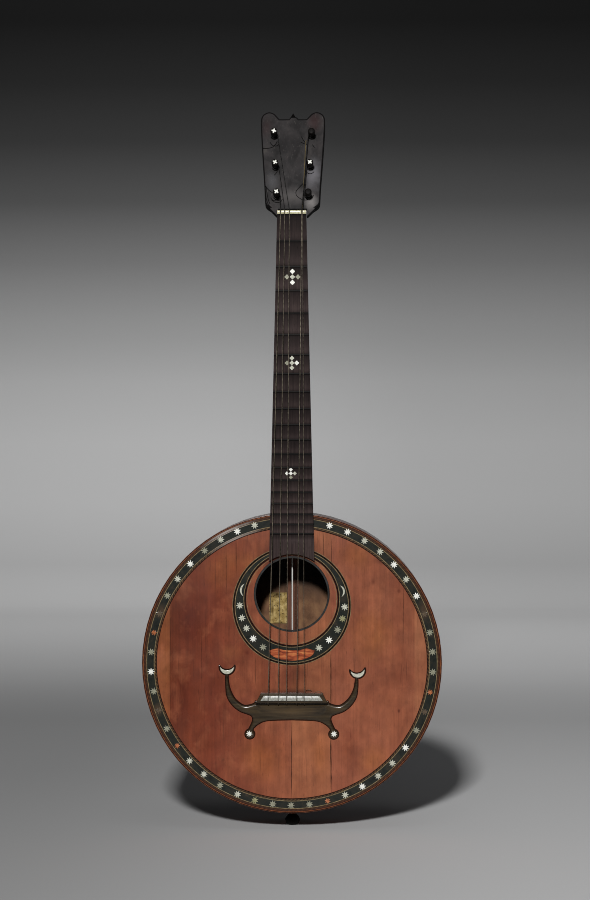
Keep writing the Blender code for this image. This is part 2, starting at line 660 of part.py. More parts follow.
def peg_ring(height, half_width, half_thickness):
    """An oval ring of a peg, round where both halves match."""
    return [(half_width * cos(2 * pi * i / PEG_STEPS), half_thickness * sin(2 * pi * i / PEG_STEPS),
             height) for i in range(PEG_STEPS)]


def make_pegs():
    """Friction pegs put in from behind: tip knob, tapered shaft, collar and flat grip."""
    collar = -HEAD_THICKNESS - FIT
    under_collar = collar - PEG_COLLAR_THICKNESS
    edge = PEG_TIP_EDGE
    rounds = [(PEG_REACH, PEG_TIP_RADIUS - edge), (PEG_REACH - edge, PEG_TIP_RADIUS),
              (PEG_TIP_START + edge, PEG_TIP_RADIUS), (PEG_TIP_START, PEG_SHAFT_RADIUS),
              (collar, PEG_BACK_RADIUS), (collar, PEG_COLLAR_RADIUS),
              (under_collar, PEG_COLLAR_FOOT_RADIUS)]
    rings = [peg_ring(height, radius, radius) for height, radius in rounds]
    rings += [peg_ring(under_collar - share * PEG_GRIP_LENGTH, half_width, half_thickness)
              for share, half_width, half_thickness in PEG_GRIP_RINGS]
    for name in PEGS:
        loft(name, rings, HEAD, EBONY, location=(*peg_place(name), 0))


def lowered(points, drop):
    """Set an arm's points lower, more towards its tip."""
    start = SADDLE_PLACE
    span = MOON_PLACE[1] - start
    return [(x, y - drop * min(1, max(0, (y - start) / span))) for x, y in points]


def bridge_half(drop, lean):
    """The right half of the bridge's outline, from its middle below to its middle above."""
    foot = arc(FOOT_PLACE, FOOT_RADIUS, *FOOT_ARC, 14)
    moon = (MOON_PLACE[0] + MOON_RADIUS * sin(lean), MOON_PLACE[1] - drop)
    bite = (moon[0] - MOON_BITE_RISE * sin(lean), moon[1] + MOON_BITE_RISE * cos(lean))
    rise = (MOON_RADIUS ** 2 - MOON_BITE_RADIUS ** 2 + MOON_BITE_RISE ** 2) / (2 * MOON_BITE_RISE)
    horn = asin(rise / MOON_RADIUS)
    bitten = asin((rise - MOON_BITE_RISE) / MOON_BITE_RADIUS)
    return [*smooth_run(LOWER_EDGE, 3), *foot, *smooth_run(lowered(ARM_OUTER_EDGE, drop), 2),
            *arc(moon, MOON_RADIUS, MOON_STEM - lean - pi / 2, horn + lean, 8),
            *arc(bite, MOON_BITE_RADIUS, bitten + lean, -pi - bitten + lean, 9)[1:],
            *arc(moon, MOON_RADIUS, pi - horn + lean, 1.5 * pi - MOON_STEM - lean, 8)[1:],
            *smooth_run(lowered(ARM_INNER_EDGE, drop), 2)]


def make_bridge():
    """The moustache-shaped foot, the raised seat for the saddle and the ridge below it."""
    right = [Vector(point) for point in bridge_half(RIGHT_ARM_DROP, RIGHT_MOON_LEAN)]
    left = [Vector((-point[0], point[1])) for point in reversed(bridge_half(0.0, 0.0))]
    floor = BRIDGE_FLOOR
    bridge = solid_plate("bridge", [right + left[:-1]], floor, floor + BRIDGE_BASE, GUITAR, EBONY)
    seat_top = SADDLE_PLACE + SEAT_UPPER_MARGIN
    seat_low = SADDLE_PLACE - SADDLE_WIDTH - SEAT_LOWER_MARGIN
    seat = [(-SEAT_HALF_LENGTH, seat_low), (SEAT_HALF_LENGTH, seat_low),
            (SEAT_UPPER_HALF_LENGTH, seat_top), (-SEAT_UPPER_HALF_LENGTH, seat_top)]
    ridge_half = [*RIDGE_RIGHT_HALF, (SEAT_HALF_LENGTH, seat_low - GROOVE_WIDTH)]
    ridge = smooth_run([(-x, y) for x, y in reversed(ridge_half[1:])] + ridge_half, 2)
    root = floor + BRIDGE_BASE / 2
    boolean(bridge, solid_plate("seat_block", [seat], root, floor + BRIDGE_SEAT, GUITAR,
                                home=CUTTERS), "UNION")
    boolean(bridge, solid_plate("ridge_block", [ridge], root, floor + BRIDGE_RIDGE, GUITAR,
                                home=CUTTERS), "UNION")
    saddle_low = SADDLE_PLACE - SADDLE_WIDTH
    upper, lower = SADDLE_HALF_LENGTH - SADDLE_SPREAD, SADDLE_HALF_LENGTH + SADDLE_SPREAD
    shape = [(-lower, saddle_low), (lower, saddle_low), (upper, SADDLE_PLACE),
             (-upper, SADDLE_PLACE)]
    plate("saddle", [shape], floor + BRIDGE_SEAT + FIT, SADDLE_TOP, GUITAR, BONE)


def to_guitar(point):
    """A point of the head frame, in the guitar's frame."""
    across, up, out = point
    return Vector((across + HEAD_OFFSET,
                   HEAD_PLACE + up * cos(HEAD_TILT) + out * sin(HEAD_TILT),
                   HEAD_PLANE - up * sin(HEAD_TILT) + out * cos(HEAD_TILT)))


def winding(peg, diameter, entry):
    """Turns round a peg, from where the string meets it down towards the head's face."""
    centre = peg_place(peg)
    side = peg_side(peg)
    radius = PEG_SHAFT_RADIUS + STRING_TO_PEG + diameter / 2
    pitch = diameter + WINDING_GAP
    away = centre - entry
    start = atan2(-away.y, -away.x) - side * acos(radius / away.length)
    points = []
    for step in range(WINDING_TURNS * LOOP_POINTS + 1):
        turn = step / LOOP_POINTS
        angle = start - side * 2 * pi * turn
        points.append(Vector((centre.x + radius * cos(angle), centre.y + radius * sin(angle),
                              WINDING_TOP - pitch * turn)))
    return points


def least_gap(points, diameter):
    """The least clear distance between turns more than half a turn apart."""
    apart = LOOP_POINTS // 2
    return min((points[i] - points[j]).length for i in range(len(points))
               for j in range(i + apart, len(points))) - diameter


def make_strings():
    """Five strings, each from the bridge over saddle and nut to its turns on a peg."""
    for name, diameter, at_nut, at_saddle, peg in STRINGS:
        rise = FIT + diameter / 2
        top = SADDLE_TOP + rise
        knot = Vector((at_saddle, STRING_GROOVE, BRIDGE_FLOOR + BRIDGE_BASE + FIT))
        bend = [Vector((at_saddle, STRING_GROOVE + up, top + out)) for up, out in STRING_BEND]
        crest = [Vector((at_saddle, up, top)) for up in (SADDLE_PLACE - SADDLE_WIDTH, SADDLE_PLACE)]
        over_nut = [Vector((at_nut, up, NUT_TOP + rise))
                    for up in (NUT_PLACE, NUT_PLACE + NUT_THICKNESS)]
        route = [knot, *bend, *crest, *over_nut]
        entry = Vector((at_nut - HEAD_OFFSET, -NUT_TO_HEAD))
        turns = winding(peg, diameter, entry)
        print(name, "least gap between turns: %.2f mm" % (1000 * least_gap(turns, diameter)))
        tube(name, route + [to_guitar(point) for point in turns], diameter, GUITAR, GUT)


def make_remnant():
    """What is left of the broken treble string: its turns on the peg."""
    turns = winding("peg_high_e", REMNANT_DIAMETER, Vector(REMNANT_END))
    gap = least_gap(turns, REMNANT_DIAMETER)
    print("string_remnant", "least gap between turns: %.2f mm" % (1000 * gap))
    tube("string_remnant", [to_guitar(point) for point in turns], REMNANT_DIAMETER, GUITAR, GUT)


for old in list(bpy.data.objects):
    bpy.data.objects.remove(old)

PARTS = collection("guitar")
CUTTERS = collection("cutters")

CEDAR = finish("reddish_cedar", (0.26, 0.08, 0.045), 0.35)
ROSEWOOD = finish("rosewood", (0.10, 0.03, 0.018), 0.35)
WALNUT = finish("walnut", (0.16, 0.06, 0.028), 0.4)
SPRUCE = finish("spruce", (0.55, 0.38, 0.2), 0.6)
EBONY = finish("ebony", (0.02, 0.018, 0.016), 0.35)
EBONISED = finish("ebonised_wood", (0.035, 0.032, 0.032), 0.4)
HORN = finish("dark_horn", (0.03, 0.035, 0.045), 0.3)
TORTOISE = finish("tortoise", (0.45, 0.12, 0.04), 0.25)
BONE = finish("bone", (0.62, 0.58, 0.48), 0.45)
BRASS = finish("fret_brass", (0.55, 0.47, 0.30), 0.35, 1.0)
STEEL = finish("bright_steel", (0.62, 0.61, 0.58), 0.3, 1.0)
GUT = finish("string_gut", (0.35, 0.28, 0.18), 0.5)
PAPER = finish("label_paper", (0.42, 0.34, 0.17), 0.8)

GUITAR = empty("guitar_frame", None, (0, 0, BODY_CENTRE_HEIGHT), (pi / 2, 0, 0))
HEAD = empty("head_frame", GUITAR, (HEAD_OFFSET, HEAD_PLACE, HEAD_PLANE), (-HEAD_TILT, 0, 0))
PIN_CUTTER = round_cutter("pin_bore", PIN_SHANK_RADIUS + FIT, 2 * (PIN_SEAT + FIT), GUITAR,
                          location=(0, -BODY_RADIUS, 0), rotation=(-pi / 2, 0, 0))

make_soundboard()
make_inlays()
make_shell()
make_blocks()
make_inside()
make_end_pin()
make_neck()
make_fingerboard()
make_head()
make_pegs()
make_bridge()
make_strings()
make_remnant()
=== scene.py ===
# %% [markdown]
# # A round-bodied guitar
# An old parlour guitar with a drum-shaped body: a reddish cedar soundboard with a star border, a
# half-moon rosette and a carved bridge like a lyre. Its solids were drawn in CAD and are loaded
# here as a fixed frame. This lesson dresses them: finishes for the woods, pearl and wire, and the
# small carved and inlaid pieces that a maker adds by hand.

# %% Load the solids
import random
from math import asin, cos, pi, radians, sin

import bmesh
import bpy
import numpy as np
from mathutils import Matrix, Vector
from mathutils.geometry import delaunay_2d_cdt


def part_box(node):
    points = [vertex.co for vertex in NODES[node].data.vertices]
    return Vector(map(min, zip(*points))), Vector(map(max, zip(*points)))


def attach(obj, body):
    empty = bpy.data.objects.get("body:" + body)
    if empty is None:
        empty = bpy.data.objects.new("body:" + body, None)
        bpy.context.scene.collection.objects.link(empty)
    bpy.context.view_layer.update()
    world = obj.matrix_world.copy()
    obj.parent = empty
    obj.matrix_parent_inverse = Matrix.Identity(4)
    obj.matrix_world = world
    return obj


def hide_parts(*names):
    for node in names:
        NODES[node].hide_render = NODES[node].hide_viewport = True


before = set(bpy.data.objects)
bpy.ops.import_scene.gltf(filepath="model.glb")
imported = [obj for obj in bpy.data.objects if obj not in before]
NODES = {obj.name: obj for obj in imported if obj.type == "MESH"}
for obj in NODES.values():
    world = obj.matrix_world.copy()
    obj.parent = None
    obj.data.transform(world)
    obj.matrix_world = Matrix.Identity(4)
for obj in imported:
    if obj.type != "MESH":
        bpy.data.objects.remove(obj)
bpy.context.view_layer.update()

# %% [markdown]
# The guitar stands upright and faces the camera. Its maker thinks of it lying on the bench, so
# places are given in two bench frames: across, up the neck and out of the board, measured from the
# middle of the body, and the same for the head, which leans back 15 degrees. Two matrices turn
# bench places into world places. Pieces keep their origin in the world's origin, so a texture's
# Object coordinates are metres on the real guitar.

# %% Bench frames
BODY_MIDDLE = 0.2210
GUITAR = Matrix.Translation((0, 0, BODY_MIDDLE)) @ Matrix.Rotation(pi / 2, 4, "X")
HEAD_TILT = radians(15)
HEAD = GUITAR @ Matrix.Translation((0.001, 0.60097, 0.0475)) @ Matrix.Rotation(-HEAD_TILT, 4, "X")
FACE = 0.045
print("the head's foot is at", tuple(round(v, 3) for v in HEAD.translation))

# %% [markdown]
# ## Camera, paper and lamps
# The camera is level, a little above half the guitar's height, three metres off, with a long lens,
# as a museum photographer would stand. The floor is a roll of pale paper that curves up behind the
# guitar, so no edge shows; the paper's far end is painted darker, a painted falloff of light as when
# the lamps are close to the object.

# %% Camera
CAMERA_DISTANCE = 3.0
CAMERA_TARGET = Vector((0.0043, -0.045, 0.5038))
CAMERA_YAW = radians(1.2)
camera = bpy.data.objects.new("camera", bpy.data.cameras.new("camera"))
camera.data.sensor_width = 36
camera.data.lens = 90.5
camera.location = CAMERA_TARGET + CAMERA_DISTANCE * Vector((sin(CAMERA_YAW), -cos(CAMERA_YAW), 0))
camera.rotation_euler = (pi / 2, 0, CAMERA_YAW)
bpy.context.scene.collection.objects.link(camera)
bpy.context.scene.camera = camera
bpy.context.scene.view_settings.view_transform = "Standard"
bpy.context.scene.cycles.filter_width = 1.0
print("camera", tuple(round(v, 3) for v in camera.location))

# %% [markdown]
# Every finish below is a tree of shader nodes. A few small helpers carry all of them: one turns the
# hex colour that a painter reads off a swatch into the linear values that light needs, one adds a
# node with its settings, its colour stops and its links, and the rest are the steps that recur.

# %% Helpers for finishes
def linear(colour):
    """An sRGB hex colour as Blender's linear RGBA."""
    channels = [int(colour[i:i + 2], 16) / 255 for i in (1, 3, 5)]
    return (*(c / 12.92 if c <= 0.04045 else ((c + 0.055) / 1.055) ** 2.4 for c in channels), 1)


def add(tree, kind, inputs=None, stops=None, **settings):
    """Adds a node: its settings, its colour stops, and its inputs as links or as values."""
    node = tree.nodes.new("ShaderNode" + kind)
    for key, value in settings.items():
        setattr(node, key, value)
    if stops:
        ramp = node.color_ramp
        while len(ramp.elements) < len(stops):
            ramp.elements.new(1)
        for element, (place, colour) in zip(ramp.elements, stops):
            element.position, element.color = place, linear(colour)
    for key, value in (inputs or {}).items():
        socket = node.inputs[key] if isinstance(key, int) else next(
            s for s in node.inputs if s.name == key and s.enabled)
        if isinstance(value, bpy.types.Node):
            value = next(s for s in value.outputs if s.enabled)
        if isinstance(value, bpy.types.NodeSocket):
            tree.links.new(value, socket)
        else:
            socket.default_value = linear(value) if isinstance(value, str) else value
    return node


def new_finish(name):
    """An empty node material and its tree."""
    material = bpy.data.materials.new(name)
    material.use_nodes = True
    material.node_tree.nodes.clear()
    return material, material.node_tree


def mottle(tree, size, detail=3, rough=0.55, wander=0.0, seed=(0, 0, 0)):
    """Soft noise with cells of this many millimetres along x, y and z."""
    place = add(tree, "TexCoord").outputs["Object"]
    cells = add(tree, "Mapping", {"Vector": place, "Location": seed,
                                  "Scale": [1000 / s for s in size]})
    return add(tree, "TexNoise", {"Vector": cells, "Scale": 1.0, "Detail": detail,
                                  "Roughness": rough, "Distortion": wander}).outputs[0]


def patch(tree, across, up, half_width, half_height, ragged=0.5, grain=(18, 18, 40)):
    """1 in the middle of a patch on the front, a stain, a rubbed place, painted shade or painted sheen, fading to
    0 round a ragged rim.
    """
    place = add(tree, "TexCoord").outputs["Object"]
    centre = (-across / half_width, 0, -(up + BODY_MIDDLE) / half_height)
    near = add(tree, "VectorMath", {0: add(tree, "Mapping", {
        "Vector": place, "Location": centre, "Scale": (1 / half_width, 0, 1 / half_height)})},
        operation="LENGTH").outputs["Value"]
    torn = add(tree, "Math", {0: mottle(tree, grain), 1: ragged, 2: near}, operation="MULTIPLY_ADD")
    return add(tree, "MapRange", {"Value": torn, "From Min": 1.0 + ragged / 2, "From Max": ragged / 2,
                                  "To Min": 0.0, "To Max": 1.0}, interpolation_type="SMOOTHSTEP")


SHADER_SOCKETS = {"ior": "IOR", "specular": "Specular IOR Level", "normal": "Normal", "metallic": "Metallic",
                  "coat": "Coat Weight", "coat_roughness": "Coat Roughness", "subsurface": "Subsurface Weight"}


def surface(tree, tone, roughness, **others):
    """The last two nodes of a finish: how it meets the light, and the way out."""
    inputs = {SHADER_SOCKETS[key]: value for key, value in others.items()}
    shader = add(tree, "BsdfPrincipled", {"Base Color": tone, "Roughness": roughness, **inputs})
    add(tree, "OutputMaterial", {"Surface": shader})


def world_place(tree):
    """X, Y and Z of a place on the real guitar, in metres."""
    return add(tree, "SeparateXYZ", {0: add(tree, "TexCoord").outputs["Object"]}).outputs


def ramp(tree, share, stops):
    """A colour for each share from 0 to 1, blended between the stops."""
    return add(tree, "ValToRGB", {"Fac": share}, stops=stops)


def remap(tree, value, low=0.0, high=1.0, to_low=0.0, to_high=1.0):
    """Moves the range low to high onto to_low to to_high, and holds it there."""
    return add(tree, "MapRange", {"Value": value, "From Min": low, "From Max": high,
                                  "To Min": to_low, "To Max": to_high})


def maths(tree, operation, *values):
    return add(tree, "Math", dict(enumerate(values)), operation=operation)


def tinted(tree, tone, share, colour):
    """Tone with a share of another colour laid over it."""
    return add(tree, "Mix", {"Factor": share, "A": tone, "B": colour}, data_type="RGBA")


def scaled(tree, tone, share):
    """Tone made lighter or darker."""
    return add(tree, "VectorMath", {0: tone, "Scale": share}, operation="SCALE")


def uneven(tree, height, strength):
    """A bump of up to a fifth of a millimetre."""
    return add(tree, "Bump", {"Strength": strength, "Distance": 0.0002, "Height": height})


def stains_and_painted_light(tree, tone, stains, grain=(18, 18, 40)):
    """Lays stains, and patches of painted light and shade, over tone: each has a colour, a strength, and its
    place and half size in patch().
    """
    for colour, strength, where in stains:
        share = maths(tree, "MULTIPLY", patch(tree, *where, grain=grain), strength)
        tone = tinted(tree, tone, share, colour)
    return tone


print("a warm brown", [round(v, 3) for v in linear("#8C503C")])

# %% [markdown]
# The paper is matt and nearly neutral. Its tone is painted light and shade, set by height on the
# curved sweep: palest on the floor, darker with height, and nearly black well above the head.

# %% Paper sweep
SWEEP_BACK = 5.0
paper, tree = new_finish("matt_paper_painted_falloff")
place = world_place(tree)
share = remap(tree, place["Z"], 0.0, 2.5)
tone = ramp(tree, share, [(0.0, "#D5D5D5"), (0.048, "#C1C1C1"), (0.128, "#C6C6C6"), (0.212, "#C3C3C3"),
                          (0.298, "#B7B7B7"), (0.384, "#9E9E9E"), (0.468, "#7A7A7A"), (0.554, "#525252"),
                          (0.64, "#363636"), (0.724, "#252525"), (0.812, "#181818")])
# Painted falloff of light: darker on the left and lighter on the right near the guitar, darker at the front of
# the floor, lighter behind the guitar and darker again far back.
lean = add(tree, "MapRange", {"Value": place["X"], "From Min": -0.45, "From Max": 0.45, "To Min": -1.0},
           interpolation_type="SMOOTHSTEP")
depth = remap(tree, place["Y"], 0.5, 4.6, to_low=0.28, to_high=-0.085)
side = maths(tree, "MULTIPLY_ADD", lean, depth, 1.0)
near = remap(tree, place["Y"], -0.5, 1.9, to_low=0.70, to_high=1.29)
far = remap(tree, place["Y"], 2.2, 3.8, to_low=1.0, to_high=0.70)
side = maths(tree, "MULTIPLY", maths(tree, "MULTIPLY", side, near), far)
tone = scaled(tree, tone, side)
fibre = mottle(tree, (3, 3, 3))
fibre = remap(tree, fibre, to_low=0.97, to_high=1.03)
tone = scaled(tree, tone, fibre)
surface(tree, tone, 1.0, specular=0.0)

section = [(-0.9, 0.0), (SWEEP_BACK - 0.9, 0.0)]
section += [(SWEEP_BACK - 0.9 + 0.9 * sin(a * pi / 32), 0.9 - 0.9 * cos(a * pi / 32)) for a in range(1,
        17)]
section += [(SWEEP_BACK, 4.0)]
mesh = bpy.data.meshes.new("paper_sweep")
mesh.from_pydata([(x, y, z) for y, z in section for x in (-4.5, 4.5)], [],
                 [(2 * i, 2 * i + 1, 2 * i + 3, 2 * i + 2) for i in range(len(section) - 1)])
mesh.materials.append(paper)
mesh.shade_smooth()
sweep = bpy.data.objects.new("paper_sweep", mesh)
bpy.context.scene.collection.objects.link(sweep)
print("paper runs back", SWEEP_BACK, "m and up to 4 m")

# %% [markdown]
# The shadows tell where the lamps stood. The edge of light on the back inside the soundhole lies
# 39 mm lower than the hole's own edge, 87 mm in front of it: the main lamp is 24 degrees above the
# level, and the shift of that edge sideways puts it 4 degrees to the left. It is a soft box, far
# off, that looks four and a half degrees wide from the guitar. One lamp washes the paper's rise,
# turned so far back that none of its light falls on the shadow; a weak one overhead and a dim room fill the rest.

# %% Lamps
def lamp(name, place, aim, width, height, power, colour="#FFFFFF"):
    """A soft box that hangs at place and looks at aim."""
    light = bpy.data.lights.new(name, "AREA")
    light.shape, light.size, light.size_y = "RECTANGLE", width, height
    light.energy, light.color = power, linear(colour)[:3]
    obj = bpy.data.objects.new(name, light)
    obj.location = place
    obj.rotation_euler = (Vector(aim) - Vector(place)).to_track_quat("-Z", "Y").to_euler()
    bpy.context.scene.collection.objects.link(obj)
    return obj


lamp("key_box", (-0.26, -3.4, 1.83), (0, 0, 0.35), 0.29, 0.29, 136)
lamp("overhead_box", (0.3, -0.9, 3.0), (0, 0.1, 0.3), 1.6, 0.8, 3)
lamp("paper_box", (0, 3.0, 3.2), (0, 4.92, 2.12), 4.0, 0.6, 84)
world = bpy.data.worlds.new("studio_room")
world.use_nodes = True
world.node_tree.nodes["Background"].inputs["Color"].default_value = linear("#BFC2C6")
world.node_tree.nodes["Background"].inputs["Strength"].default_value = 0.05
bpy.context.scene.world = world
print("three lamps and a dim room")

# %% [markdown]
# ## Ways to make a piece
# Inlays are cut from thin plates, purflings are bent into rings, pegs are lofted from rows of
# points, and loose string ends are bits of round wire. Each has a helper.

# %% Piece helpers
def piece(name, points, faces, finish, body="guitar", home=GUITAR, crease=32, uvs=None):
    """A mesh piece from points in a bench frame; edges sharper than crease stay crisp."""
    mesh = bpy.data.meshes.new(name)
    mesh.from_pydata([home @ Vector(p) for p in points], [], faces)
    if uvs:
        layer = mesh.uv_layers.new(name="UVMap")
        layer.data.foreach_set("uv", np.array(uvs, float).ravel())
    work = bmesh.new()
    work.from_mesh(mesh)
    bmesh.ops.remove_doubles(work, verts=work.verts, dist=1e-6)
    bmesh.ops.recalc_face_normals(work, faces=work.faces)
    work.to_mesh(mesh)
    work.free()
    mesh.materials.append(finish)
    mesh.shade_smooth()
    mesh.set_sharp_from_angle(angle=radians(crease))
    obj = bpy.data.objects.new(name, mesh)
    bpy.context.scene.collection.objects.link(obj)
    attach(obj, body)
    return obj


def from_curve(name, curve, finish, body, home, crease=32):
    """Turns a curve into a mesh piece."""
    tube = bpy.data.objects.new(name + "_curve", curve)
    bpy.context.scene.collection.objects.link(tube)
    mesh = bpy.data.meshes.new_from_object(tube.evaluated_get(bpy.context.evaluated_depsgraph_get()))
    points = [v.co.copy() for v in mesh.vertices]
    faces = [tuple(p.vertices) for p in mesh.polygons]
    bpy.data.objects.remove(tube)
    bpy.data.curves.remove(curve)
    bpy.data.meshes.remove(mesh)
    return piece(name, points, faces, finish, body, home, crease)


def plate(name, outlines, low, high, finish, body="guitar", home=GUITAR, edge=0.0001):
    """A flat piece sawn to its outlines, with its arrises eased by edge."""
    curve = bpy.data.curves.new(name, "CURVE")
    curve.dimensions, curve.fill_mode = "2D", "BOTH"
    for outline in outlines:
        spline = curve.splines.new("POLY")
        spline.points.add(len(outline) - 1)
        spline.points.foreach_set("co", [v for x, y in outline for v in (x, y, 0, 1)])
        spline.use_cyclic_u = True
    curve.extrude = (high - low) / 2 - edge
    curve.bevel_depth, curve.bevel_resolution, curve.offset = edge, 2 if edge < 0.0003 else 5, -edge
    return from_curve(name, curve, finish, body,
                      home @ Matrix.Translation((0, 0, (low + high) / 2)), crease=12)


def wire(name, runs, radius, finish, body="guitar", home=GUITAR):
    """Round wire bent through each run of points."""
    curve = bpy.data.curves.new(name, "CURVE")
    curve.dimensions, curve.bevel_depth, curve.bevel_resolution = "3D", radius, 3
    curve.use_fill_caps = True
    for run in runs:
        smooth = bent(run, 5)
        spline = curve.splines.new("POLY")
        spline.points.add(len(smooth) - 1)
        spline.points.foreach_set("co", [v for p in smooth for v in (*p, 1)])
    return from_curve(name, curve, finish, body, home, crease=60)


def bent(points, steps):
    """More points on a smooth run through the given ones."""
    points = [Vector(p) for p in points]
    if len(points) < 3:
        return points
    ends = [2 * points[0] - points[1], *points, 2 * points[-1] - points[-2]]
    run = []
    for a, b, c, d in zip(ends, ends[1:], ends[2:], ends[3:]):
        for i in range(steps):
            t = i / steps
            run.append(0.5 * (2 * b + (c - a) * t + (2 * a - 5 * b + 4 * c - d) * t * t
                              + (3 * b - a - 3 * c + d) * t ** 3))
    return run + [points[-1]]


def lofted(rows, size, first=0):
    """Faces over rows of points, size to a row, closed at both ends."""
    last = first + size * (rows - 1)
    faces = [(a + k, a + (k + 1) % size, a + size + (k + 1) % size, a + size + k)
             for a in range(first, last, size) for k in range(size)]
    return faces + [tuple(range(first, first + size)), tuple(range(last + size - 1, last - 1, -1))]


def smooth_run(points, steps):
    return [tuple(p) for p in bent(points, steps)]


def grown(outline, out):
    """A closed outline moved outwards, or inwards where out is below zero."""
    moved = []
    for before, here, after in zip(outline[-1:] + outline[:-1], outline, outline[1:] + outline[:1]):
        way = (Vector(after) - Vector(before)).normalized()
        moved.append(tuple(Vector(here) + out * Vector((way.y, -way.x))))
    return moved


def ring(name, middle, inner, outer, low, high, finish, steps=240):
    """A thin hoop round a bench point, with UVs in metres along it and across it."""
    section = [(inner, low), (inner, high), (outer, high), (outer, low)]
    points = [(r * cos(2 * pi * i / steps), middle + r * sin(2 * pi * i / steps), w)
              for i in range(steps) for r, w in section]
    faces, uvs = [], []
    along = 2 * pi * (inner + outer) / 2 / steps
    for i in range(steps):
        for k in range(4):
            m, j = (k + 1) % 4, (i + 1) % steps
            faces.append((4 * i + k, 4 * j + k, 4 * j + m, 4 * i + m))
            a, b = section[k][0] - inner, section[m][0] - inner
            uvs += [(i * along, a), ((i + 1) * along, a), ((i + 1) * along, b), (i * along, b)]
    return piece(name, points, faces, finish, uvs=uvs)


def dress(names, finish, slot=None, crease=30, ease=0):
    """Gives carried-over solids their finish, and smooths what was filed smooth."""
    for name in names:
        obj = NODES[name]
        obj.data.materials.clear()
        obj.data.materials.append(finish)
        obj.data.polygons.foreach_set("use_smooth", [True] * len(obj.data.polygons))
        weld = obj.modifiers.new("glue", "WELD")
        weld.merge_threshold = 1e-6
        if ease:
            bevel = obj.modifiers.new("eased_edges", "BEVEL")
            bevel.width, bevel.segments, bevel.limit_method = ease, 2, "ANGLE"
            bevel.angle_limit = radians(40)
        split = obj.modifiers.new("crisp_edges", "EDGE_SPLIT")
        split.split_angle = radians(crease)
        if ease:
            flat = obj.modifiers.new("true_flats", "WEIGHTED_NORMAL")
            flat.mode, flat.weight, flat.keep_sharp = "FACE_AREA", 80, True


print("helpers for plates, wires, turned pieces and rings")

# %% [markdown]
# ## The soundboard
# The board is old reddish cedar under worn French polish. The maker joined it from planks, so its
# tone jumps at the joints; hands, sweat and light have clouded it darker on the left and warmer on
# the right. The finish layers these from large to small: planks, clouds, grain 2 mm apart (drawn
# coarser than cedar's real half millimetre so that it shows), then short dark flecks.

# %% French-polished cedar
# Shellac over soft wood: warm and deep with a broken satin shine, IOR of wood about 1.5.
cedar, tree = new_finish("french_polished_cedar")
across = world_place(tree)["X"]
share = remap(tree, across, -0.2, 0.2)
planks = ramp(tree, share, [(0.0945, "#7E4728"), (0.0975, "#602D19"), (0.24, "#6B3220"),
                            (0.40, "#7C432C"), (0.497, "#844B33"), (0.502, "#8E5639"),
                            (0.628, "#8A5237"), (0.632, "#844B35"), (0.86, "#824A33"),
                            (0.905, "#864F37"), (0.91, "#8E583D")])
height = world_place(tree)["Z"]
# Painted light: the lower half of the board is painted up to 22 percent lighter.
painted_light_low_half = remap(tree, height, 0.26, 0.10, to_low=1.0, to_high=1.22)
planks = scaled(tree, planks, painted_light_low_half)
STAINS_AND_PAINTED_SHADE = (  # colour, strength, then across, up, half width and half height in metres
    ("#4A180B", 0.75, (-0.136, 0.055, 0.032, 0.052)),
    ("#521D0E", 0.65, (-0.146, -0.045, 0.030, 0.075)),
    ("#5A2412", 0.50, (-0.098, -0.028, 0.036, 0.036)),
    ("#8E5028", 0.60, (-0.088, 0.122, 0.045, 0.040)),
    ("#98592E", 0.50, (-0.055, 0.128, 0.024, 0.030)),
    ("#8E5430", 0.50, (-0.080, 0.013, 0.024, 0.016)),
    ("#5E2814", 0.50, (-0.115, -0.108, 0.030, 0.022)),
    ("#965429", 0.55, (-0.038, -0.125, 0.042, 0.045)),
    ("#9C582C", 0.50, (0.038, -0.120, 0.018, 0.050)),
    ("#70341A", 0.45, (0.072, -0.112, 0.022, 0.040)),
    ("#94562C", 0.50, (0.110, -0.130, 0.032, 0.030)),
    ("#985C30", 0.60, (0.106, 0.035, 0.038, 0.048)),
    ("#8E5429", 0.50, (0.085, 0.143, 0.036, 0.028)),
    ("#3A180E", 0.75, (0.122, 0.137, 0.020, 0.009)),
    ("#471C10", 0.55, (0.004, -0.018, 0.020, 0.032)),
    ("#6A3020", 0.45, (-0.020, -0.010, 0.030, 0.030)),
    # Old dirt with painted shade: a dark band round the bridge seat.
    ("#24130C", 0.85, (0.0, -0.0405, 0.0570, 0.0095)),
    # Painted shadow: near black below the fingerboard's end, over the soundhole's top edge.
    ("#0E0806", 1.0, (0.0, 0.1385, 0.0600, 0.0160)),
    # Painted shadow along both sides of the fingerboard.
    ("#3A1A10", 0.60, (-0.030, 0.146, 0.012, 0.030)),
    ("#3A1A10", 0.60, (0.032, 0.146, 0.010, 0.030)),
    ("#4A1A0E", 0.70, (-0.059, 0.014, 0.005, 0.005)),
    ("#3A140C", 0.80, (0.142, -0.063, 0.0025, 0.004)),
    ("#3A140C", 0.70, (-0.091, -0.128, 0.003, 0.004)),
    ("#45190E", 0.60, (0.108, 0.108, 0.004, 0.007)),
    ("#45190E", 0.60, (0.142, 0.096, 0.004, 0.005)))
tone = stains_and_painted_light(tree, planks, STAINS_AND_PAINTED_SHADE)
clouds = remap(tree, mottle(tree, (45, 45, 60), detail=6, wander=0.6), 0.40, 0.68, to_high=0.45)
tone = tinted(tree, tone, clouds, "#602A1C")
bloom = remap(tree, mottle(tree, (24, 24, 34), detail=5, wander=0.5, seed=(9, 2, 6)), 0.50, 0.72,
              to_high=0.35)
tone = tinted(tree, tone, bloom, "#A86444")
grain = mottle(tree, (2.0, 2.0, 130), detail=5, wander=0.15)
broad_grain = mottle(tree, (6, 6, 90), detail=4, wander=0.2, seed=(3, 5, 8))
blotches = mottle(tree, (14, 14, 19), detail=5, seed=(6, 1, 2))
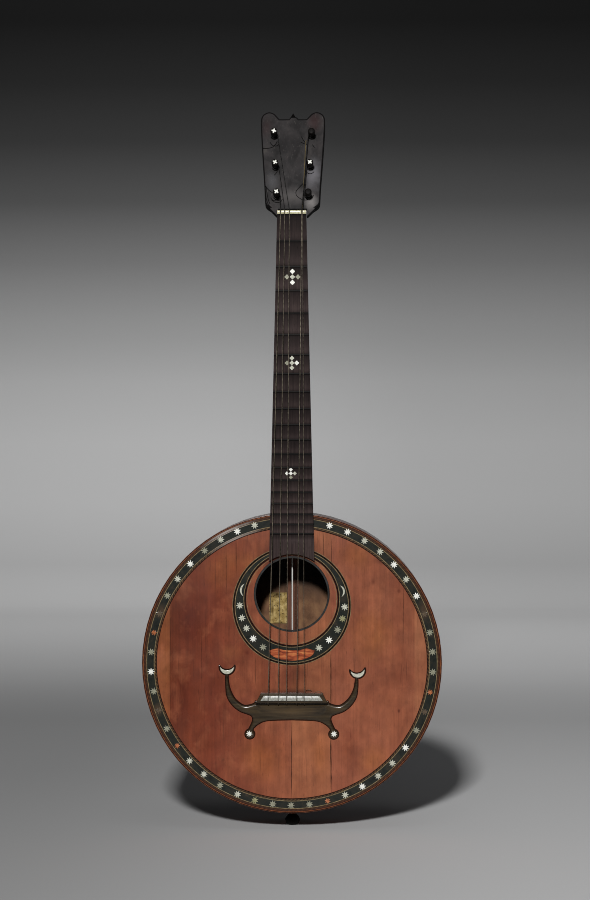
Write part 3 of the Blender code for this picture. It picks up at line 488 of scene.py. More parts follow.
for layer, spread in ((grain, 0.09), (broad_grain, 0.10), (blotches, 0.16)):
    light = remap(tree, layer, 0.3, 0.7, to_low=1 - spread, to_high=1 + spread)
    tone = scaled(tree, tone, light)
flecks = remap(tree, mottle(tree, (1.5, 1.5, 11), detail=2, seed=(7, 3, 1)), 0.62, 0.74, to_high=0.40)
tone = tinted(tree, tone, flecks, "#30120A")
scratches = remap(tree, mottle(tree, (1.6, 1.6, 60), detail=1, seed=(4, 4, 9)), 0.66, 0.74, to_high=0.35)
tone = tinted(tree, tone, scratches, "#34140C")
shine = remap(tree, mottle(tree, (30, 30, 45), detail=4, seed=(2, 2, 2)), to_low=0.20, to_high=0.34)
bump = uneven(tree, grain, 0.25)
surface(tree, tone, shine, ior=1.5, normal=bump, specular=0.4)
dress(["soundboard"], cedar)
print("cedar has", len(tree.nodes), "nodes")

# %% [markdown]
# Some joints between the planks have opened a little, and there are cracks beside them. A crack is
# a thin dark sliver, wider in its middle and wandering with the grain. It is made as a very thin closed blade
# that lies in the board's face, so that it stays a line at any distance.

# %% Opened joints and cracks
# Old dirt in a crack: nearly black, dull, with paler crumbs. The same finish makes the painted contact shadow
# round the bridge.
dirt, tree = new_finish("crack_dirt_and_contact_shadow")
crumbs = ramp(tree, mottle(tree, (2, 2, 6)), [(0.35, "#0A0504"), (0.75, "#2A140D")])
surface(tree, crumbs, 0.85, specular=0.1)

chance = random.Random(11)
CRACKS = (  # across, low end, high end, widest, in metres from the body's middle
    (-0.0003, -0.1800, -0.0785, 0.00075), (0.0520, -0.1725, -0.0930, 0.00140),
    (0.0520, -0.0600, 0.0125, 0.00110), (-0.1614, -0.0850, 0.0830, 0.00045),
    (-0.0739, 0.1150, 0.1640, 0.00065), (-0.0394, -0.0400, 0.0120, 0.00050),
    (0.0418, 0.1370, 0.1720, 0.00050), (0.0525, 0.1150, 0.1650, 0.00045),
    (0.1475, 0.0180, 0.1030, 0.00050), (-0.0870, 0.0900, 0.1500, 0.00035),
    (0.0960, 0.0950, 0.1300, 0.00035), (-0.0480, -0.0300, 0.0100, 0.00035),
    (0.0190, -0.0330, 0.0010, 0.00040), (-0.1200, -0.0300, 0.0400, 0.00030))
points, faces = [], []
for x, low, high, widest in CRACKS:
    count = max(8, int((high - low) / 0.004))
    first, drift = len(points), 0.0
    for i in range(count + 1):
        share = i / count
        drift += chance.uniform(-0.00012, 0.00012)
        half = widest / 2 * (0.12 + 0.88 * min(1, 5 * share, 5 * (1 - share))) * chance.uniform(0.7, 1.1)
        for side, w in ((-1, FACE - 0.0004), (-1, FACE + 0.00004), (1, FACE + 0.00004), (1, FACE - 0.0004)):
            points.append((x + drift + side * half, low + share * (high - low), w))
    faces += lofted(count + 1, 4, first)
piece("board_cracks", points, faces, dirt)
print(len(CRACKS), "cracks and joints")

# %% [markdown]
# ## The star border and the rosette
# Both are bands of pear wood dyed black and let into the board. Dye takes unevenly, so the black
# wanders between green and brown, and worn places near both sides show the wood. Purflings edge the
# bands: boxwood lines, dark lines, and ropes of slanting dark and light slips, 5 or 6 mm to a pair.

# %% Dyed black inlay wood
# Iron-dyed pear: black with a cold, greenish cast, polished flat with the board.
dyed, tree = new_finish("dyed_pear_inlay")
tone = ramp(tree, mottle(tree, (9, 9, 9), detail=4, wander=0.6),
            [(0.30, "#141715"), (0.48, "#1E211D"), (0.62, "#26251F"), (0.78, "#3A3027")])
WORN = ((-0.172, 0.068, 0.012, 0.014), (0.176, 0.072, 0.012, 0.022), (-0.178, -0.062, 0.010, 0.012))
tone = stains_and_painted_light(tree, tone, [("#54402F", 0.55, where) for where in WORN], (6, 6, 6))
bump = uneven(tree, mottle(tree, (3, 3, 3)), 0.2)
surface(tree, tone, 0.24, ior=1.5, normal=bump, specular=0.4)
dress(["star_border", "rosette_band"], dyed)

# %% Boxwood line and rope purfling
def painted_edge_sheen(tree, tone):
    """A painted sheen: pale grey painted on the upper left of the edge, where the light catches it."""
    return stains_and_painted_light(tree, tone, [("#A0958E", 0.85, (-0.085, 0.172, 0.055, 0.035))], (9, 9, 9))


# Boxwood under old polish: straw yellow gone grey-brown, in a line under a millimetre wide.
boxwood, tree = new_finish("boxwood_line")
tone = ramp(tree, mottle(tree, (5, 5, 5), detail=4),
            [(0.3, "#564934"), (0.55, "#7C6B4C"), (0.75, "#988866")])
surface(tree, painted_edge_sheen(tree, tone), 0.25, ior=1.5, specular=0.4)


def rope(name, dark, pale, turn, slant):
    """Slanting slips of dyed and plain wood, turn metres to a pair, along a ring's own UVs."""
    finish, tree = new_finish(name)
    uv = add(tree, "SeparateXYZ", {0: add(tree, "TexCoord").outputs["UV"]})
    lean = maths(tree, "MULTIPLY_ADD", uv.outputs["Y"], slant, uv.outputs["X"])
    slips = maths(tree, "FRACT", maths(tree, "DIVIDE", lean, turn))
    tone = ramp(tree, slips, [(0.0, dark), (0.42, dark), (0.52, pale), (0.90, pale), (1.0, dark)])
    grime = remap(tree, mottle(tree, (7, 7, 7), detail=4), 0.35, 0.75, to_high=0.6)
    tone = tinted(tree, tone, grime, "#2C1C14")
    surface(tree, painted_edge_sheen(tree, tone), 0.25, ior=1.5, specular=0.4)
    return finish


inner_rope = rope("rope_of_cedar_and_pear", "#2C1C12", "#584028", 0.0050, 1.4)
edge_rope = rope("rope_of_walnut_and_box", "#392014", "#482B1A", 0.0060, 1.2)

INLAY_LOW, PURFLING_TOP, PEARL_TOP = FACE - 0.0004, FACE + 0.00008, FACE + 0.00014
OUTER_CENTRE, INNER_CENTRE = 0.076, 0.0849
RINGS = (  # name, centre up the board, inner and outer radius, finish
    ("border_inner_dark", 0, 0.1791, 0.1801, dirt), ("border_inner_rope", 0, 0.1801, 0.1820, inner_rope),
    ("border_inner_line", 0, 0.1823, 0.1832, boxwood), ("border_outer_line", 0, 0.1922, 0.1931, boxwood),
    ("border_outer_dark", 0, 0.1931, 0.1936, dirt), ("edge_rope", 0, 0.1936, 0.1960, edge_rope),
    ("edge_dark", 0, 0.1960, 0.1965, dirt), ("edge_outer_dark", 0, 0.1975, 0.1984, dirt),
    ("rosette_outer_line", OUTER_CENTRE, 0.0781, 0.0788, boxwood),
    ("rosette_outer_dark", OUTER_CENTRE, 0.0759, 0.0781, dirt),
    ("rosette_second_line", OUTER_CENTRE, 0.0748, 0.0757, boxwood),
    ("rosette_inner_line", INNER_CENTRE, 0.0592, 0.0598, boxwood),
    ("rosette_inner_dark", INNER_CENTRE, 0.0607, 0.0630, dirt),
    ("rosette_fourth_line", INNER_CENTRE, 0.0632, 0.0640, boxwood))
for name, middle, inner, outer, finish in RINGS:
    ring(name, middle, inner, outer, INLAY_LOW, PURFLING_TOP, finish)
print(len(RINGS), "purfling rings")

# %% [markdown]
# The stars are sawn from mother-of-pearl. Nacre is made of layers that turn the light, so one star
# flashes white and its neighbour stays grey. That flash is painted: one nacre in three finishes, a
# painted flash, a half flash and painted shade; a few stars were replaced with shell of another colour.

# %% Mother-of-pearl
def pearl(name, deep, body, flash, roughness=0.20):
    """Nacre: cloudy layers a few millimetres wide under a hard polish, IOR 1.53."""
    finish, tree = new_finish(name)
    layers = mottle(tree, (3.2, 3.2, 2.2), detail=3, wander=1.5)
    tone = ramp(tree, layers, [(0.25, deep), (0.5, body), (0.75, flash)])
    surface(tree, tone, roughness, ior=1.53, coat=0.3, coat_roughness=0.08)
    return finish


# One nacre painted three ways: a painted flash, a half flash and painted shade.
pearl_painted_flash = pearl("nacre_painted_flash", "#C9C9BC", "#E8E8DF", "#F6F6F2")
pearl_half_painted_flash = pearl("nacre_half_painted_flash", "#8F8F80", "#B9B9A9", "#D6D6C8")
pearl_painted_shade = pearl("nacre_painted_shade", "#6A6A5C", "#8C8B78", "#A8A792")
shell_yellow = pearl("shell_yellow_green", "#6A6848", "#8E8B66", "#A8A582")
shell_orange = pearl("shell_orange", "#7A4022", "#A8623C", "#B87E58")
shell_dull = pearl("shell_worn_dull", "#3A332A", "#55483A", "#6A5C4A")


def star(x, y, reach, turn=0.0, waist=0.50, points=8):
    """An eight-pointed star with blunt points."""
    outline = []
    for i in range(points):
        a = turn + 2 * pi * i / points
        for da, r in ((-0.06, reach), (0.06, reach), (pi / points, reach * waist)):
            outline.append((x + r * sin(a + da), y + r * cos(a + da)))
    return outline


STAR_STEP = radians(360 / 46)
BY_EYE = (  # star's number, degrees off its even place
    (-21, -0.6), (-19, -1.4), (-17, -1.3), (-11, -0.4), (-7, 0.6), (-3, 1.0), (0, -0.3), (3, -1.4),
    (6, -1.7), (10, 0.0), (12, 0.8), (16, 1.1), (21, 0.3))
ODD_STARS = {2: "orange", 10: "orange", -7: "orange", 9: "dull", -9: "dull", 14: "dull", -14: "dull",
             -13: "orange", -2: "yellow"}
WHITE_STARS = {-20, -17, -11, 4, 7, 15, 17, 20, 21}
GREY_STARS = {-18, -15, -12, -10, -8, -4, -1, 0, 1, 8, 11, 12, 13}
kinds = {"white": pearl_painted_flash, "plain": pearl_half_painted_flash, "grey": pearl_painted_shade, "orange": shell_orange,
         "dull": shell_dull, "yellow": shell_yellow}
cut = {kind: [] for kind in kinds}
for k in range(-21, 22):
    kind = ODD_STARS.get(k, "white" if k in WHITE_STARS else "grey" if k in GREY_STARS else "plain")
    a = k * STAR_STEP + radians(np.interp(k, *zip(*BY_EYE)))
    out = 0.1881 + 0.0009 * cos(2 * a) - 0.0005 * cos(a)
    cut[kind].append(star(out * sin(a), -out * cos(a), 0.0047 if kind != "orange" else 0.0038,
                          a + chance.uniform(-0.2, 0.2)))
for kind, x, y in (("plain", -0.0690, 0.0764), ("plain", -0.0661, 0.0600), ("plain", -0.0601, 0.0464),
                   ("white", -0.0512, 0.0326), ("grey", -0.0380, 0.0212), ("plain", 0.0702, 0.0747),
                   ("yellow", 0.0673, 0.0593), ("grey", 0.0608, 0.0445), ("white", 0.0494, 0.0310),
                   ("plain", 0.0361, 0.0206)):
    cut[kind].append(star(x, y, 0.0048, chance.uniform(-0.2, 0.2)))
for kind, outlines in cut.items():
    plate(f"stars_{kind}", outlines, INLAY_LOW, PEARL_TOP, kinds[kind], edge=0.00006)
print({kind: len(outlines) for kind, outlines in cut.items()})

# %% Rosette crescents
def sliver(tip_a, tip_b, outer_rise, inner_rise, steps=14):
    """A crescent between two tips: two arcs that bulge to the left of the way from a to b."""
    a, b = Vector(tip_a), Vector(tip_b)
    chord, middle = b - a, (a + b) / 2
    away = Vector((-chord.y, chord.x)).normalized()
    half = chord.length / 2
    outline = []
    for rise, order in ((outer_rise, 1), (inner_rise, -1)):
        radius = (half * half + rise * rise) / (2 * rise)
        swing = asin(half / radius)
        centre = middle + away * (rise - radius)
        run = [centre + radius * (away * cos(t) + chord.normalized() * sin(t))
               for t in np.linspace(-swing, swing, steps)]
        outline += run[::order] if order == 1 else run[::-1][1:-1]
    return [tuple(p) for p in outline]


plate("rosette_crescents", [sliver((-0.0624, 0.1055), (-0.0644, 0.0889), -0.0053, -0.0029),
                            sliver((0.0640, 0.1032), (0.0661, 0.0882), 0.0053, 0.0029)],
      INLAY_LOW, PEARL_TOP, pearl_half_painted_flash, edge=0.00006)

# %% [markdown]
# The orange inset is painted tortoise pattern: clear orange with darker, slanting strokes.

# %% Painted tortoise
# Varnished horn or celluloid: clear orange over red-brown strokes about 3 mm apart, glossy.
tortoise, tree = new_finish("orange_tortoise")
strokes = add(tree, "Mapping", {"Vector": add(tree, "TexCoord").outputs["Object"],
                                "Rotation": (0, radians(-62), 0), "Scale": (70, 90, 330)})
waves = add(tree, "TexNoise", {"Vector": strokes, "Scale": 1.0, "Detail": 3.0, "Distortion": 0.8})
tone = ramp(tree, waves.outputs[0],
            [(0.34, "#683020"), (0.46, "#92462C"), (0.56, "#A85836"), (0.70, "#C8824E")])
surface(tree, tone, 0.2, ior=1.54)
dress(["rosette_inset"], tortoise)
print("rosette done")

# %% [markdown]
# ## Edge, rim and back
# The outer edge is bound in reddish walnut, and the rim and back are rosewood. On the rim the grain
# runs round the body, so the finish turns world places into a place along the rim first.

# %% Bound and bent woods
def plain_wood(name, dark, middle, pale, size, roughness, pores=0.4, gloss=0.4, greyed_heights=None):
    """Polished hardwood: long streaks and short open pores; size is the streaks' in mm.

    The last argument is a pair of world heights between which the wood turns dark grey."""
    finish, tree = new_finish(name)
    streaks = mottle(tree, size, detail=5, wander=0.3)
    tone = ramp(tree, streaks, [(0.28, dark), (0.5, middle), (0.72, pale)])
    fine = mottle(tree, [max(0.6, s / 8) if s < 40 else s / 6 for s in size], detail=2, seed=(5, 1, 4))
    spots = remap(tree, fine, 0.6, 0.8, to_high=pores)
    tone = tinted(tree, tone, spots, "#150B08")
    if greyed_heights:
        height = world_place(tree)["Z"]
        share = remap(tree, height, greyed_heights[0], greyed_heights[1])
        tone = tinted(tree, tone, share, "#3E3A38")
    bump = uneven(tree, fine, 0.2)
    surface(tree, tone, roughness, ior=1.5, normal=bump, specular=gloss)
    return finish


walnut = plain_wood("polished_walnut_binding", "#4A2415", "#6E3C22", "#8A5230", (5, 5, 5), 0.25)
dress(["top_binding", "back_binding"], walnut, ease=0.0006)

rosewood_rim, tree = new_finish("bent_rosewood_rim")
place = world_place(tree)
rise = maths(tree, "SUBTRACT", place["Z"], BODY_MIDDLE)
angle = maths(tree, "ARCTAN2", place["X"], rise)
along = add(tree, "CombineXYZ", {"X": angle, "Y": place["Y"]})
figure = add(tree, "Mapping", {"Vector": along, "Scale": (3.3, 260, 1)})
streaks = add(tree, "TexNoise", {"Vector": figure, "Scale": 1.0, "Detail": 5.0, "Distortion": 0.5})
tone = ramp(tree, streaks.outputs[0], [(0.3, "#2E130C"), (0.5, "#56281A"), (0.7, "#7A3E26")])
pores = add(tree, "TexNoise", {"Vector": add(tree, "Mapping", {"Vector": along, "Scale": (30, 1600, 1)}),
                               "Scale": 1.0, "Detail": 2.0})
spots = remap(tree, pores.outputs[0], 0.6, 0.8, to_high=0.5)
tone = tinted(tree, tone, spots, "#150906")
surface(tree, tone, 0.22, ior=1.5, specular=0.4)
dress(["rim"], rosewood_rim)

# %% Two-faced back
# Outside: rosewood in two mirrored halves. Inside: the same wood bare, dusty and paler, painted near black high
# up: painted shade below the soundhole's upper edge.
back_wood, tree = new_finish("rosewood_back")
place = world_place(tree)
mirrored = add(tree, "CombineXYZ", {"X": maths(tree, "ABSOLUTE", place["X"]), "Z": place["Z"]})
figure = add(tree, "TexNoise", {"Vector": add(tree, "Mapping", {"Vector": mirrored, "Scale": (75, 1, 5)}),
                                "Scale": 1.0, "Detail": 5.0, "Distortion": 0.7})
tone = ramp(tree, figure.outputs[0],
            [(0.3, "#2A120B"), (0.47, "#4C2316"), (0.56, "#642F1D"), (0.72, "#84452A")])
spots = remap(tree, mottle(tree, (0.9, 0.9, 9), detail=2), 0.6, 0.8, to_high=0.5)
tone = tinted(tree, tone, spots, "#150906")
bare = ramp(tree, mottle(tree, (14, 14, 20), detail=5),
            [(0.3, "#52361F"), (0.5, "#6E4C32"), (0.7, "#82603F")])
# Painted shade: the bare wood inside turns near black above this height.
painted_inside_shade = remap(tree, place["Z"], 0.2925, 0.3325)
bare = tinted(tree, bare, painted_inside_shade, "#140C08")
outside = remap(tree, place["Y"], 0.0432, 0.0436)
tone = tinted(tree, bare, outside, tone)
rough = remap(tree, outside, to_low=0.85, to_high=0.22)
surface(tree, tone, rough, ior=1.5)
dress(["back"], back_wood)
print("edge, rim and back done")

# %% [markdown]
# ## Inside the body
# Through the soundhole the eye meets the bare back, the reddish strip over its joint, a paper label
# without writing and a bright rod, drawn as steel with a painted reflection, that may brace the neck
# against the strings.

# %% Inside finishes
spruce = plain_wood("bare_spruce", "#7C5E3C", "#9A7A50", "#B39062", (2.2, 2.2, 60), 0.8, 0.15)
dress(["top_lining", "back_lining", "neck_block", "tail_block", "top_brace_upper", "top_brace_lower",
       "back_brace_upper", "back_brace_lower", "bridge_plate"], spruce)
strip_wood = plain_wood("bare_mahogany_strip", "#4A2C22", "#65402F", "#7A513D", (2.5, 2.5, 50), 0.8, 0.3)
dress(["back_strip"], strip_wood)

# Rag paper gone yellow: foxed at random, and darker at its top and along its left and lower edges.
label_paper, tree = new_finish("yellowed_label_paper")
tone = ramp(tree, mottle(tree, (6, 6, 6), detail=5),
            [(0.3, "#7C6435"), (0.5, "#A68D58"), (0.7, "#C2AB76")])
foxing = remap(tree, mottle(tree, (2.2, 2.2, 2.2), detail=3, seed=(3, 8, 1)), 0.58, 0.66, to_high=0.85)
tone = tinted(tree, tone, foxing, "#2C1F0E")
tone = stains_and_painted_light(tree, tone, (
    ("#2C1F0E", 0.85, (-0.022, 0.086, 0.012, 0.007)), ("#2C1F0E", 0.6, (-0.018, 0.047, 0.014, 0.0016)),
    ("#2C1F0E", 0.6, (-0.0285, 0.066, 0.003, 0.020))), (4, 4, 4))
surface(tree, tone, 0.85, specular=0.1)
dress(["label"], label_paper)

# Drawn steel rod with fine marks across it; its brightness is a painted reflection, pale grey with little metal.
steel_painted_shine, tree = new_finish("drawn_steel_painted_shine")
marks = mottle(tree, (4, 4, 0.8), detail=3)
tone = ramp(tree, marks, [(0.3, "#B8B6B0"), (0.6, "#D0CFCA"), (0.8, "#DEDDD9")])
surface(tree, tone, 0.5, metallic=0.15)
low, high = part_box("tension_rod")
rod_x, rod_out = (low[0] + high[0]) / 2, -(low[1] + high[1]) / 2
rod_run = [(rod_x, z - GUITAR.translation.z, rod_out) for z in (low[2], high[2])]
rod = wire("drawn_rod", [rod_run], 0.0010, steel_painted_shine)
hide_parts("tension_rod")

# Dark slate horn edging of the soundhole, a little cloudy under its polish.
horn, tree = new_finish("slate_horn")
tone = ramp(tree, mottle(tree, (6, 6, 6), detail=4),
            [(0.3, "#1C1A18"), (0.55, "#282624"), (0.8, "#34363A")])
surface(tree, tone, 0.24, ior=1.55)
dress(["soundhole_ring"], horn)
print("inside done")

# %% [markdown]
# ## Neck, fingerboard and frets
# The neck is cedar stained dark. The fingerboard is rosewood blackened by use: worn pale where
# fingers press, just above each fret, and darker just below each: dirt, with a painted shadow of the
# fret. The finish finds the frets by itself: twelve times the binary logarithm of the string's
# length gives the fret's number, and its fraction says how far a place is on the way to the next.
# The frets are brass bars gone nearly black.

# %% Neck woods
# Its top beside the nut turns dark grey.
neck_wood = plain_wood("stained_cedar_neck", "#2E1A12", "#4A2A1C", "#5E3826", (3, 3, 90), 0.25,
                       greyed_heights=(0.800, 0.812))
dress(["neck"], neck_wood)

fingerboard_wood, tree = new_finish("worn_rosewood_fingerboard")
streaks = mottle(tree, (2.4, 2.4, 70), detail=5, wander=0.2)
tone = ramp(tree, streaks, [(0.25, "#2A2221"), (0.45, "#362C2B"), (0.60, "#403533"), (0.80, "#4E4240")])
tone = stains_and_painted_light(tree, tone, (
    ("#423837", 0.5, (0.0, 0.297, 0.024, 0.008)), ("#423837", 0.55, (0.004, 0.163, 0.026, 0.007)),
    ("#423837", 0.35, (0.0, 0.43, 0.018, 0.05)), ("#423837", 0.35, (0.0, 0.53, 0.016, 0.04))), (5, 5, 5))
spots = remap(tree, mottle(tree, (0.9, 0.9, 7), detail=2), 0.58, 0.8, to_high=0.7)
tone = tinted(tree, tone, spots, "#0E0A0A")
height = world_place(tree)["Z"]
BRIDGE_HEIGHT, SCALE_LENGTH, PAST_LAST_FRET = 0.1810, 0.635, 19.7
bridge_way = maths(tree, "SUBTRACT", height, BRIDGE_HEIGHT)
octaves = maths(tree, "LOGARITHM", maths(tree, "DIVIDE", bridge_way, SCALE_LENGTH), 2.0)
number = maths(tree, "MINIMUM", maths(tree, "MULTIPLY", octaves, -12.0), PAST_LAST_FRET)
# In each fret space: pale wear above the next fret, and a painted shadow with dirt just below each fret.
wear_and_painted_fret_shadow = ramp(tree, maths(tree, "FRACT", number),
            [(0.0, "#5A5A5A"), (0.05, "#7E7E7E"), (0.12, "#A8A8A8"), (0.30, "#BEBEBE"),
             (0.50, "#D6D6D6"), (0.70, "#F8F8F8"), (0.80, "#FFFFFF"), (0.90, "#E8E8E8"),
             (0.96, "#CCCCCC"), (1.0, "#9A9A9A")])
tone = add(tree, "VectorMath", {0: tone, 1: wear_and_painted_fret_shadow}, operation="MULTIPLY")
# Darker in bands along the neck, and towards the nut.
share = remap(tree, height, 0.378, 0.800)
tone_along_neck = ramp(tree, share, [(0.08, "#FFFFFF"), (0.15, "#F0F0F0"), (0.33, "#D0D0D0"), (0.49, "#D5D5D5"),
                             (0.63, "#EDEDED"), (0.77, "#FFFFFF"), (0.91, "#DCDCDC"), (1.0, "#D3D3D3")])
tone = add(tree, "VectorMath", {0: tone, 1: tone_along_neck}, operation="MULTIPLY")
bump = uneven(tree, mottle(tree, (0.9, 0.9, 7), detail=2), 0.35)
shine = remap(tree, streaks, to_low=0.45, to_high=0.58)
surface(tree, tone, shine, ior=1.5, normal=bump, specular=0.03)
dress(["fingerboard"], fingerboard_wood, ease=0.0004)

# Tarnished brass: a nearly black film over the metal, browner in spots.
fret_brass, tree = new_finish("tarnished_fret_brass")
tone = ramp(tree, mottle(tree, (6, 3, 3), detail=4),
            [(0.3, "#060505"), (0.55, "#0C0908"), (0.8, "#1A140E")])
surface(tree, tone, 0.55, metallic=0.3, specular=0.2)
dress([name for name in NODES if name.startswith("fret_")], fret_brass)
print("neck done")

# %% [markdown]
# Position marks are crosses of five small pearl lozenges with pinched sides, let into the
# fingerboard between the second and third, sixth and seventh, and thirteenth and fourteenth frets.

# %% Position marks
FINGERBOARD_TOP = 0.0503


def lozenge(x, y, reach, pinch=0.30, steps=20, turn=0.0):
    """A four-lobed lozenge; unturned, its lobes point up, down, left and right."""
    return [(x + reach * (1 - pinch * sin(2 * a) ** 2) * cos(a + turn),
             y + reach * (1 - pinch * sin(2 * a) ** 2) * sin(a + turn))
            for a in (2 * pi * i / steps for i in range(steps))]


marks = {"white": [], "plain": [], "grey": []}
for x, y, gap, reach, kinds_of in (
        (0.0010, 0.5119, 0.0073, 0.0033, ("plain", "white", "white", "grey", "grey")),
        (0.0003, 0.3980, 0.0064, 0.0031, ("plain", "plain", "plain", "grey", "white")),
        (-0.0011, 0.2518, 0.0052, 0.0025, ("white", "white", "grey", "white", "plain"))):
    for kind, (dx, dy) in zip(kinds_of, ((0, 0), (0, 1), (0, -1), (-1, 0), (1, 0))):
        marks[kind].append(lozenge(x + dx * gap, y + dy * gap, reach))
for kind, outlines in marks.items():
    plate(f"position_marks_{kind}", outlines, FINGERBOARD_TOP - 0.0005, FINGERBOARD_TOP + 0.00012,
          kinds[kind], edge=0.00005)
print("fifteen lozenges")

# %% [markdown]
# ## Nut and saddle
# Both are old bone. The nut has a slot for each string, dark with graphite and dirt; the saddle is
# a low plate, scratched and grey, with a shallow groove under each string. Each is lofted across
# the strings, dipping at each slot, and replaces its plain solid.

# %% Old bone
def bone(name, deep, body, pale, roughness):
    """Bone: creamy, with fine dark canals a millimetre apart and dirt in its scratches."""
    finish, tree = new_finish(name)
    tone = ramp(tree, mottle(tree, (2.2, 2.2, 3.5), detail=5), [(0.28, deep), (0.5, body), (0.72, pale)])
    canals = remap(tree, mottle(tree, (0.7, 0.7, 3.0), detail=2, seed=(1, 9, 4)), 0.62, 0.78, to_high=0.5)
    tone = tinted(tree, tone, canals, "#4A4436")
    surface(tree, tone, roughness, ior=1.56, subsurface=0.05)
    return finish


nut_bone = bone("nut_bone", "#8E8667", "#C9C39F", "#DDD8BC", 0.22)
saddle_bone = bone("saddle_bone", "#6E6E66", "#9C9B93", "#BBBAB2", 0.36)

STRINGS = (  # name, diameter, across at the nut, across at the saddle
    ("string_low_e", 0.00110, -0.0148, -0.0310), ("string_a", 0.00095, -0.0092, -0.0177),
    ("string_d", 0.00085, -0.0030, -0.0066), ("string_g", 0.00095, 0.0132, 0.0069),
    ("string_b", 0.00080, 0.0146, 0.0167))


def slotted_bar(name, node, half_low, half_high, low_up, high_up, base, top, slots, finish):
    """A bone bar across the strings: round on top, with a dip at each (across, depth, half width)."""
    count = 240
    points = []
    for i in range(count + 1):
        share = 2 * i / count - 1
        dip = sum(depth / (1 + ((share * half_low - at) / wide) ** 4) for at, depth, wide in slots)
        end = 0.0006 * (1 - min(1, (1 - abs(share)) * 14)) ** 2
        crown = top - dip - end
        for up, height in ((low_up, base), (low_up, crown - 0.0005), (low_up + 0.0005, crown - 0.0001),
                           ((low_up + high_up) / 2, crown), (high_up - 0.0005, crown - 0.0001),
                           (high_up, crown - 0.0005), (high_up, base)):
            part = (up - low_up) / (high_up - low_up)
            points.append((share * (half_low + part * (half_high - half_low)), up, height))
    made = piece(name, points, lofted(count + 1, 7), finish, crease=45)
    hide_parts(node)


NUT_PLACE, NUT_TOP, SADDLE_TOP, SADDLE_PLACE = 0.595, 0.0520, 0.0566, -0.0421
nut_slots = [(at_nut, 0.0009, d * 0.62) for _, d, at_nut, _ in STRINGS] + [(0.0172, 0.0006, 0.0004)]
slotted_bar("nut_slotted", "nut", 0.01935, 0.0190, NUT_PLACE + 0.0003, NUT_PLACE + 0.005,
            FINGERBOARD_TOP - 0.005, NUT_TOP + 0.0010, nut_slots, nut_bone)
saddle_slots = [(at_saddle, 0.0004, d * 0.7) for _, d, _,
                at_saddle in STRINGS] + [(0.0290, 0.0003, 0.0005)]
slotted_bar("saddle_grooved", "saddle", 0.0411, 0.0368, SADDLE_PLACE - 0.0067, SADDLE_PLACE,
            SADDLE_TOP - 0.0016, SADDLE_TOP + 0.0005, saddle_slots, saddle_bone)
print("nut and saddle slotted")

# %% [markdown]
# ## The bridge
# The bridge is carved from one piece of pear wood, stained black and rubbed by hands until the
# brown comes through on its high places. Its arms are rounded like a moustache, so its height is
# found from how far a point is from the outline: a quarter round at the edge, then nearly flat. The
# outline is the CAD's; a fine net of triangles fills it, and each net point gets its height.

# %% Carved bridge
def arc(centre, radius, start, end, steps):
    return [(centre[0] + radius * cos(start + (end - start) * i / steps),
             centre[1] + radius * sin(start + (end - start) * i / steps)) for i in range(steps + 1)]


MOON_PLACE, MOON_RADIUS, MOON_STEM = (0.0858, -0.0050), 0.0107, radians(9)
RIGHT_ARM_DROP, RIGHT_MOON_LEAN = 0.0043, radians(8)
FOOT_PLACE, FOOT_RADIUS = (0.0556, -0.0939), 0.0066
LOWER_EDGE = ((0, -0.0749), (0.0321, -0.0762), (0.0439, -0.0806), (0.0503, -0.0859))
ARM_OUTER = ((0.0560, -0.0852), (0.0522, -0.0762), (0.0529, -0.0707), (0.0573, -0.0680),
             (0.0688, -0.0638), (0.0791, -0.0555), (0.0858, -0.0444), (0.0876, -0.0310),
             (0.0878, -0.0190))
ARM_INNER = ((0.0843, -0.0190), (0.0824, -0.0319), (0.0769, -0.0445), (0.0699, -0.0519),
             (0.0617, -0.0560), (0.0503, -0.0533), (0.0477, -0.0487))
GROOVE_LOW, GROOVE_HALF = -0.0551, 0.0477


def lowered(points, drop):
    return [(x, y - drop * min(1, max(0, (y - SADDLE_PLACE) / (MOON_PLACE[1] - SADDLE_PLACE)))) for x,
            y in points]


def moon(centre, radius, bite_radius, bite_rise, lean=0.0, stem=0.0):
    """A crescent that opens upwards: a disc with a bite taken out of its top."""
    rise = (radius ** 2 - bite_radius ** 2 + bite_rise ** 2) / (2 * bite_rise)
    horn, bitten = asin(rise / radius), asin((rise - bite_rise) / bite_radius)
    bite = (centre[0] - bite_rise * sin(lean), centre[1] + bite_rise * cos(lean))
    foot = lean if stem else -lean
    return [*arc(centre, radius, stem - foot - pi / 2, horn + lean, 12),
            *arc(bite, bite_radius, bitten + lean, -pi - bitten + lean, 16)[1:],
            *arc(centre, radius, pi - horn + lean, 1.5 * pi - stem - foot, 12)[1:]]


def moon_place(drop, lean):
    return (MOON_PLACE[0] + MOON_RADIUS * sin(lean), MOON_PLACE[1] - drop)


def bridge_half(drop, lean):
    """The right half of the outline, from its middle below to the notch for the seat."""
    head = moon(moon_place(drop, lean), MOON_RADIUS, 0.0116, 0.0081, lean, MOON_STEM)
    return [*smooth_run(LOWER_EDGE, 5), *arc(FOOT_PLACE, FOOT_RADIUS, radians(130), radians(435), 24),
            *smooth_run(lowered(ARM_OUTER, drop), 4), *head, *smooth_run(lowered(ARM_INNER, drop), 4),
            (GROOVE_HALF, GROOVE_LOW)]


def away_from(points, run):
    """How far each point is from the nearest stretch of an open run of points."""
    a, b = np.array(run[:-1]), np.array(run[1:])
    d = b - a
    p = points[:, None, :] - a
    t = np.clip((p * d).sum(2) / np.maximum((d * d).sum(1), 1e-16), 0, 1)
    return np.hypot(*np.moveaxis(p - t[..., None] * d, 2, 0)).min(1)


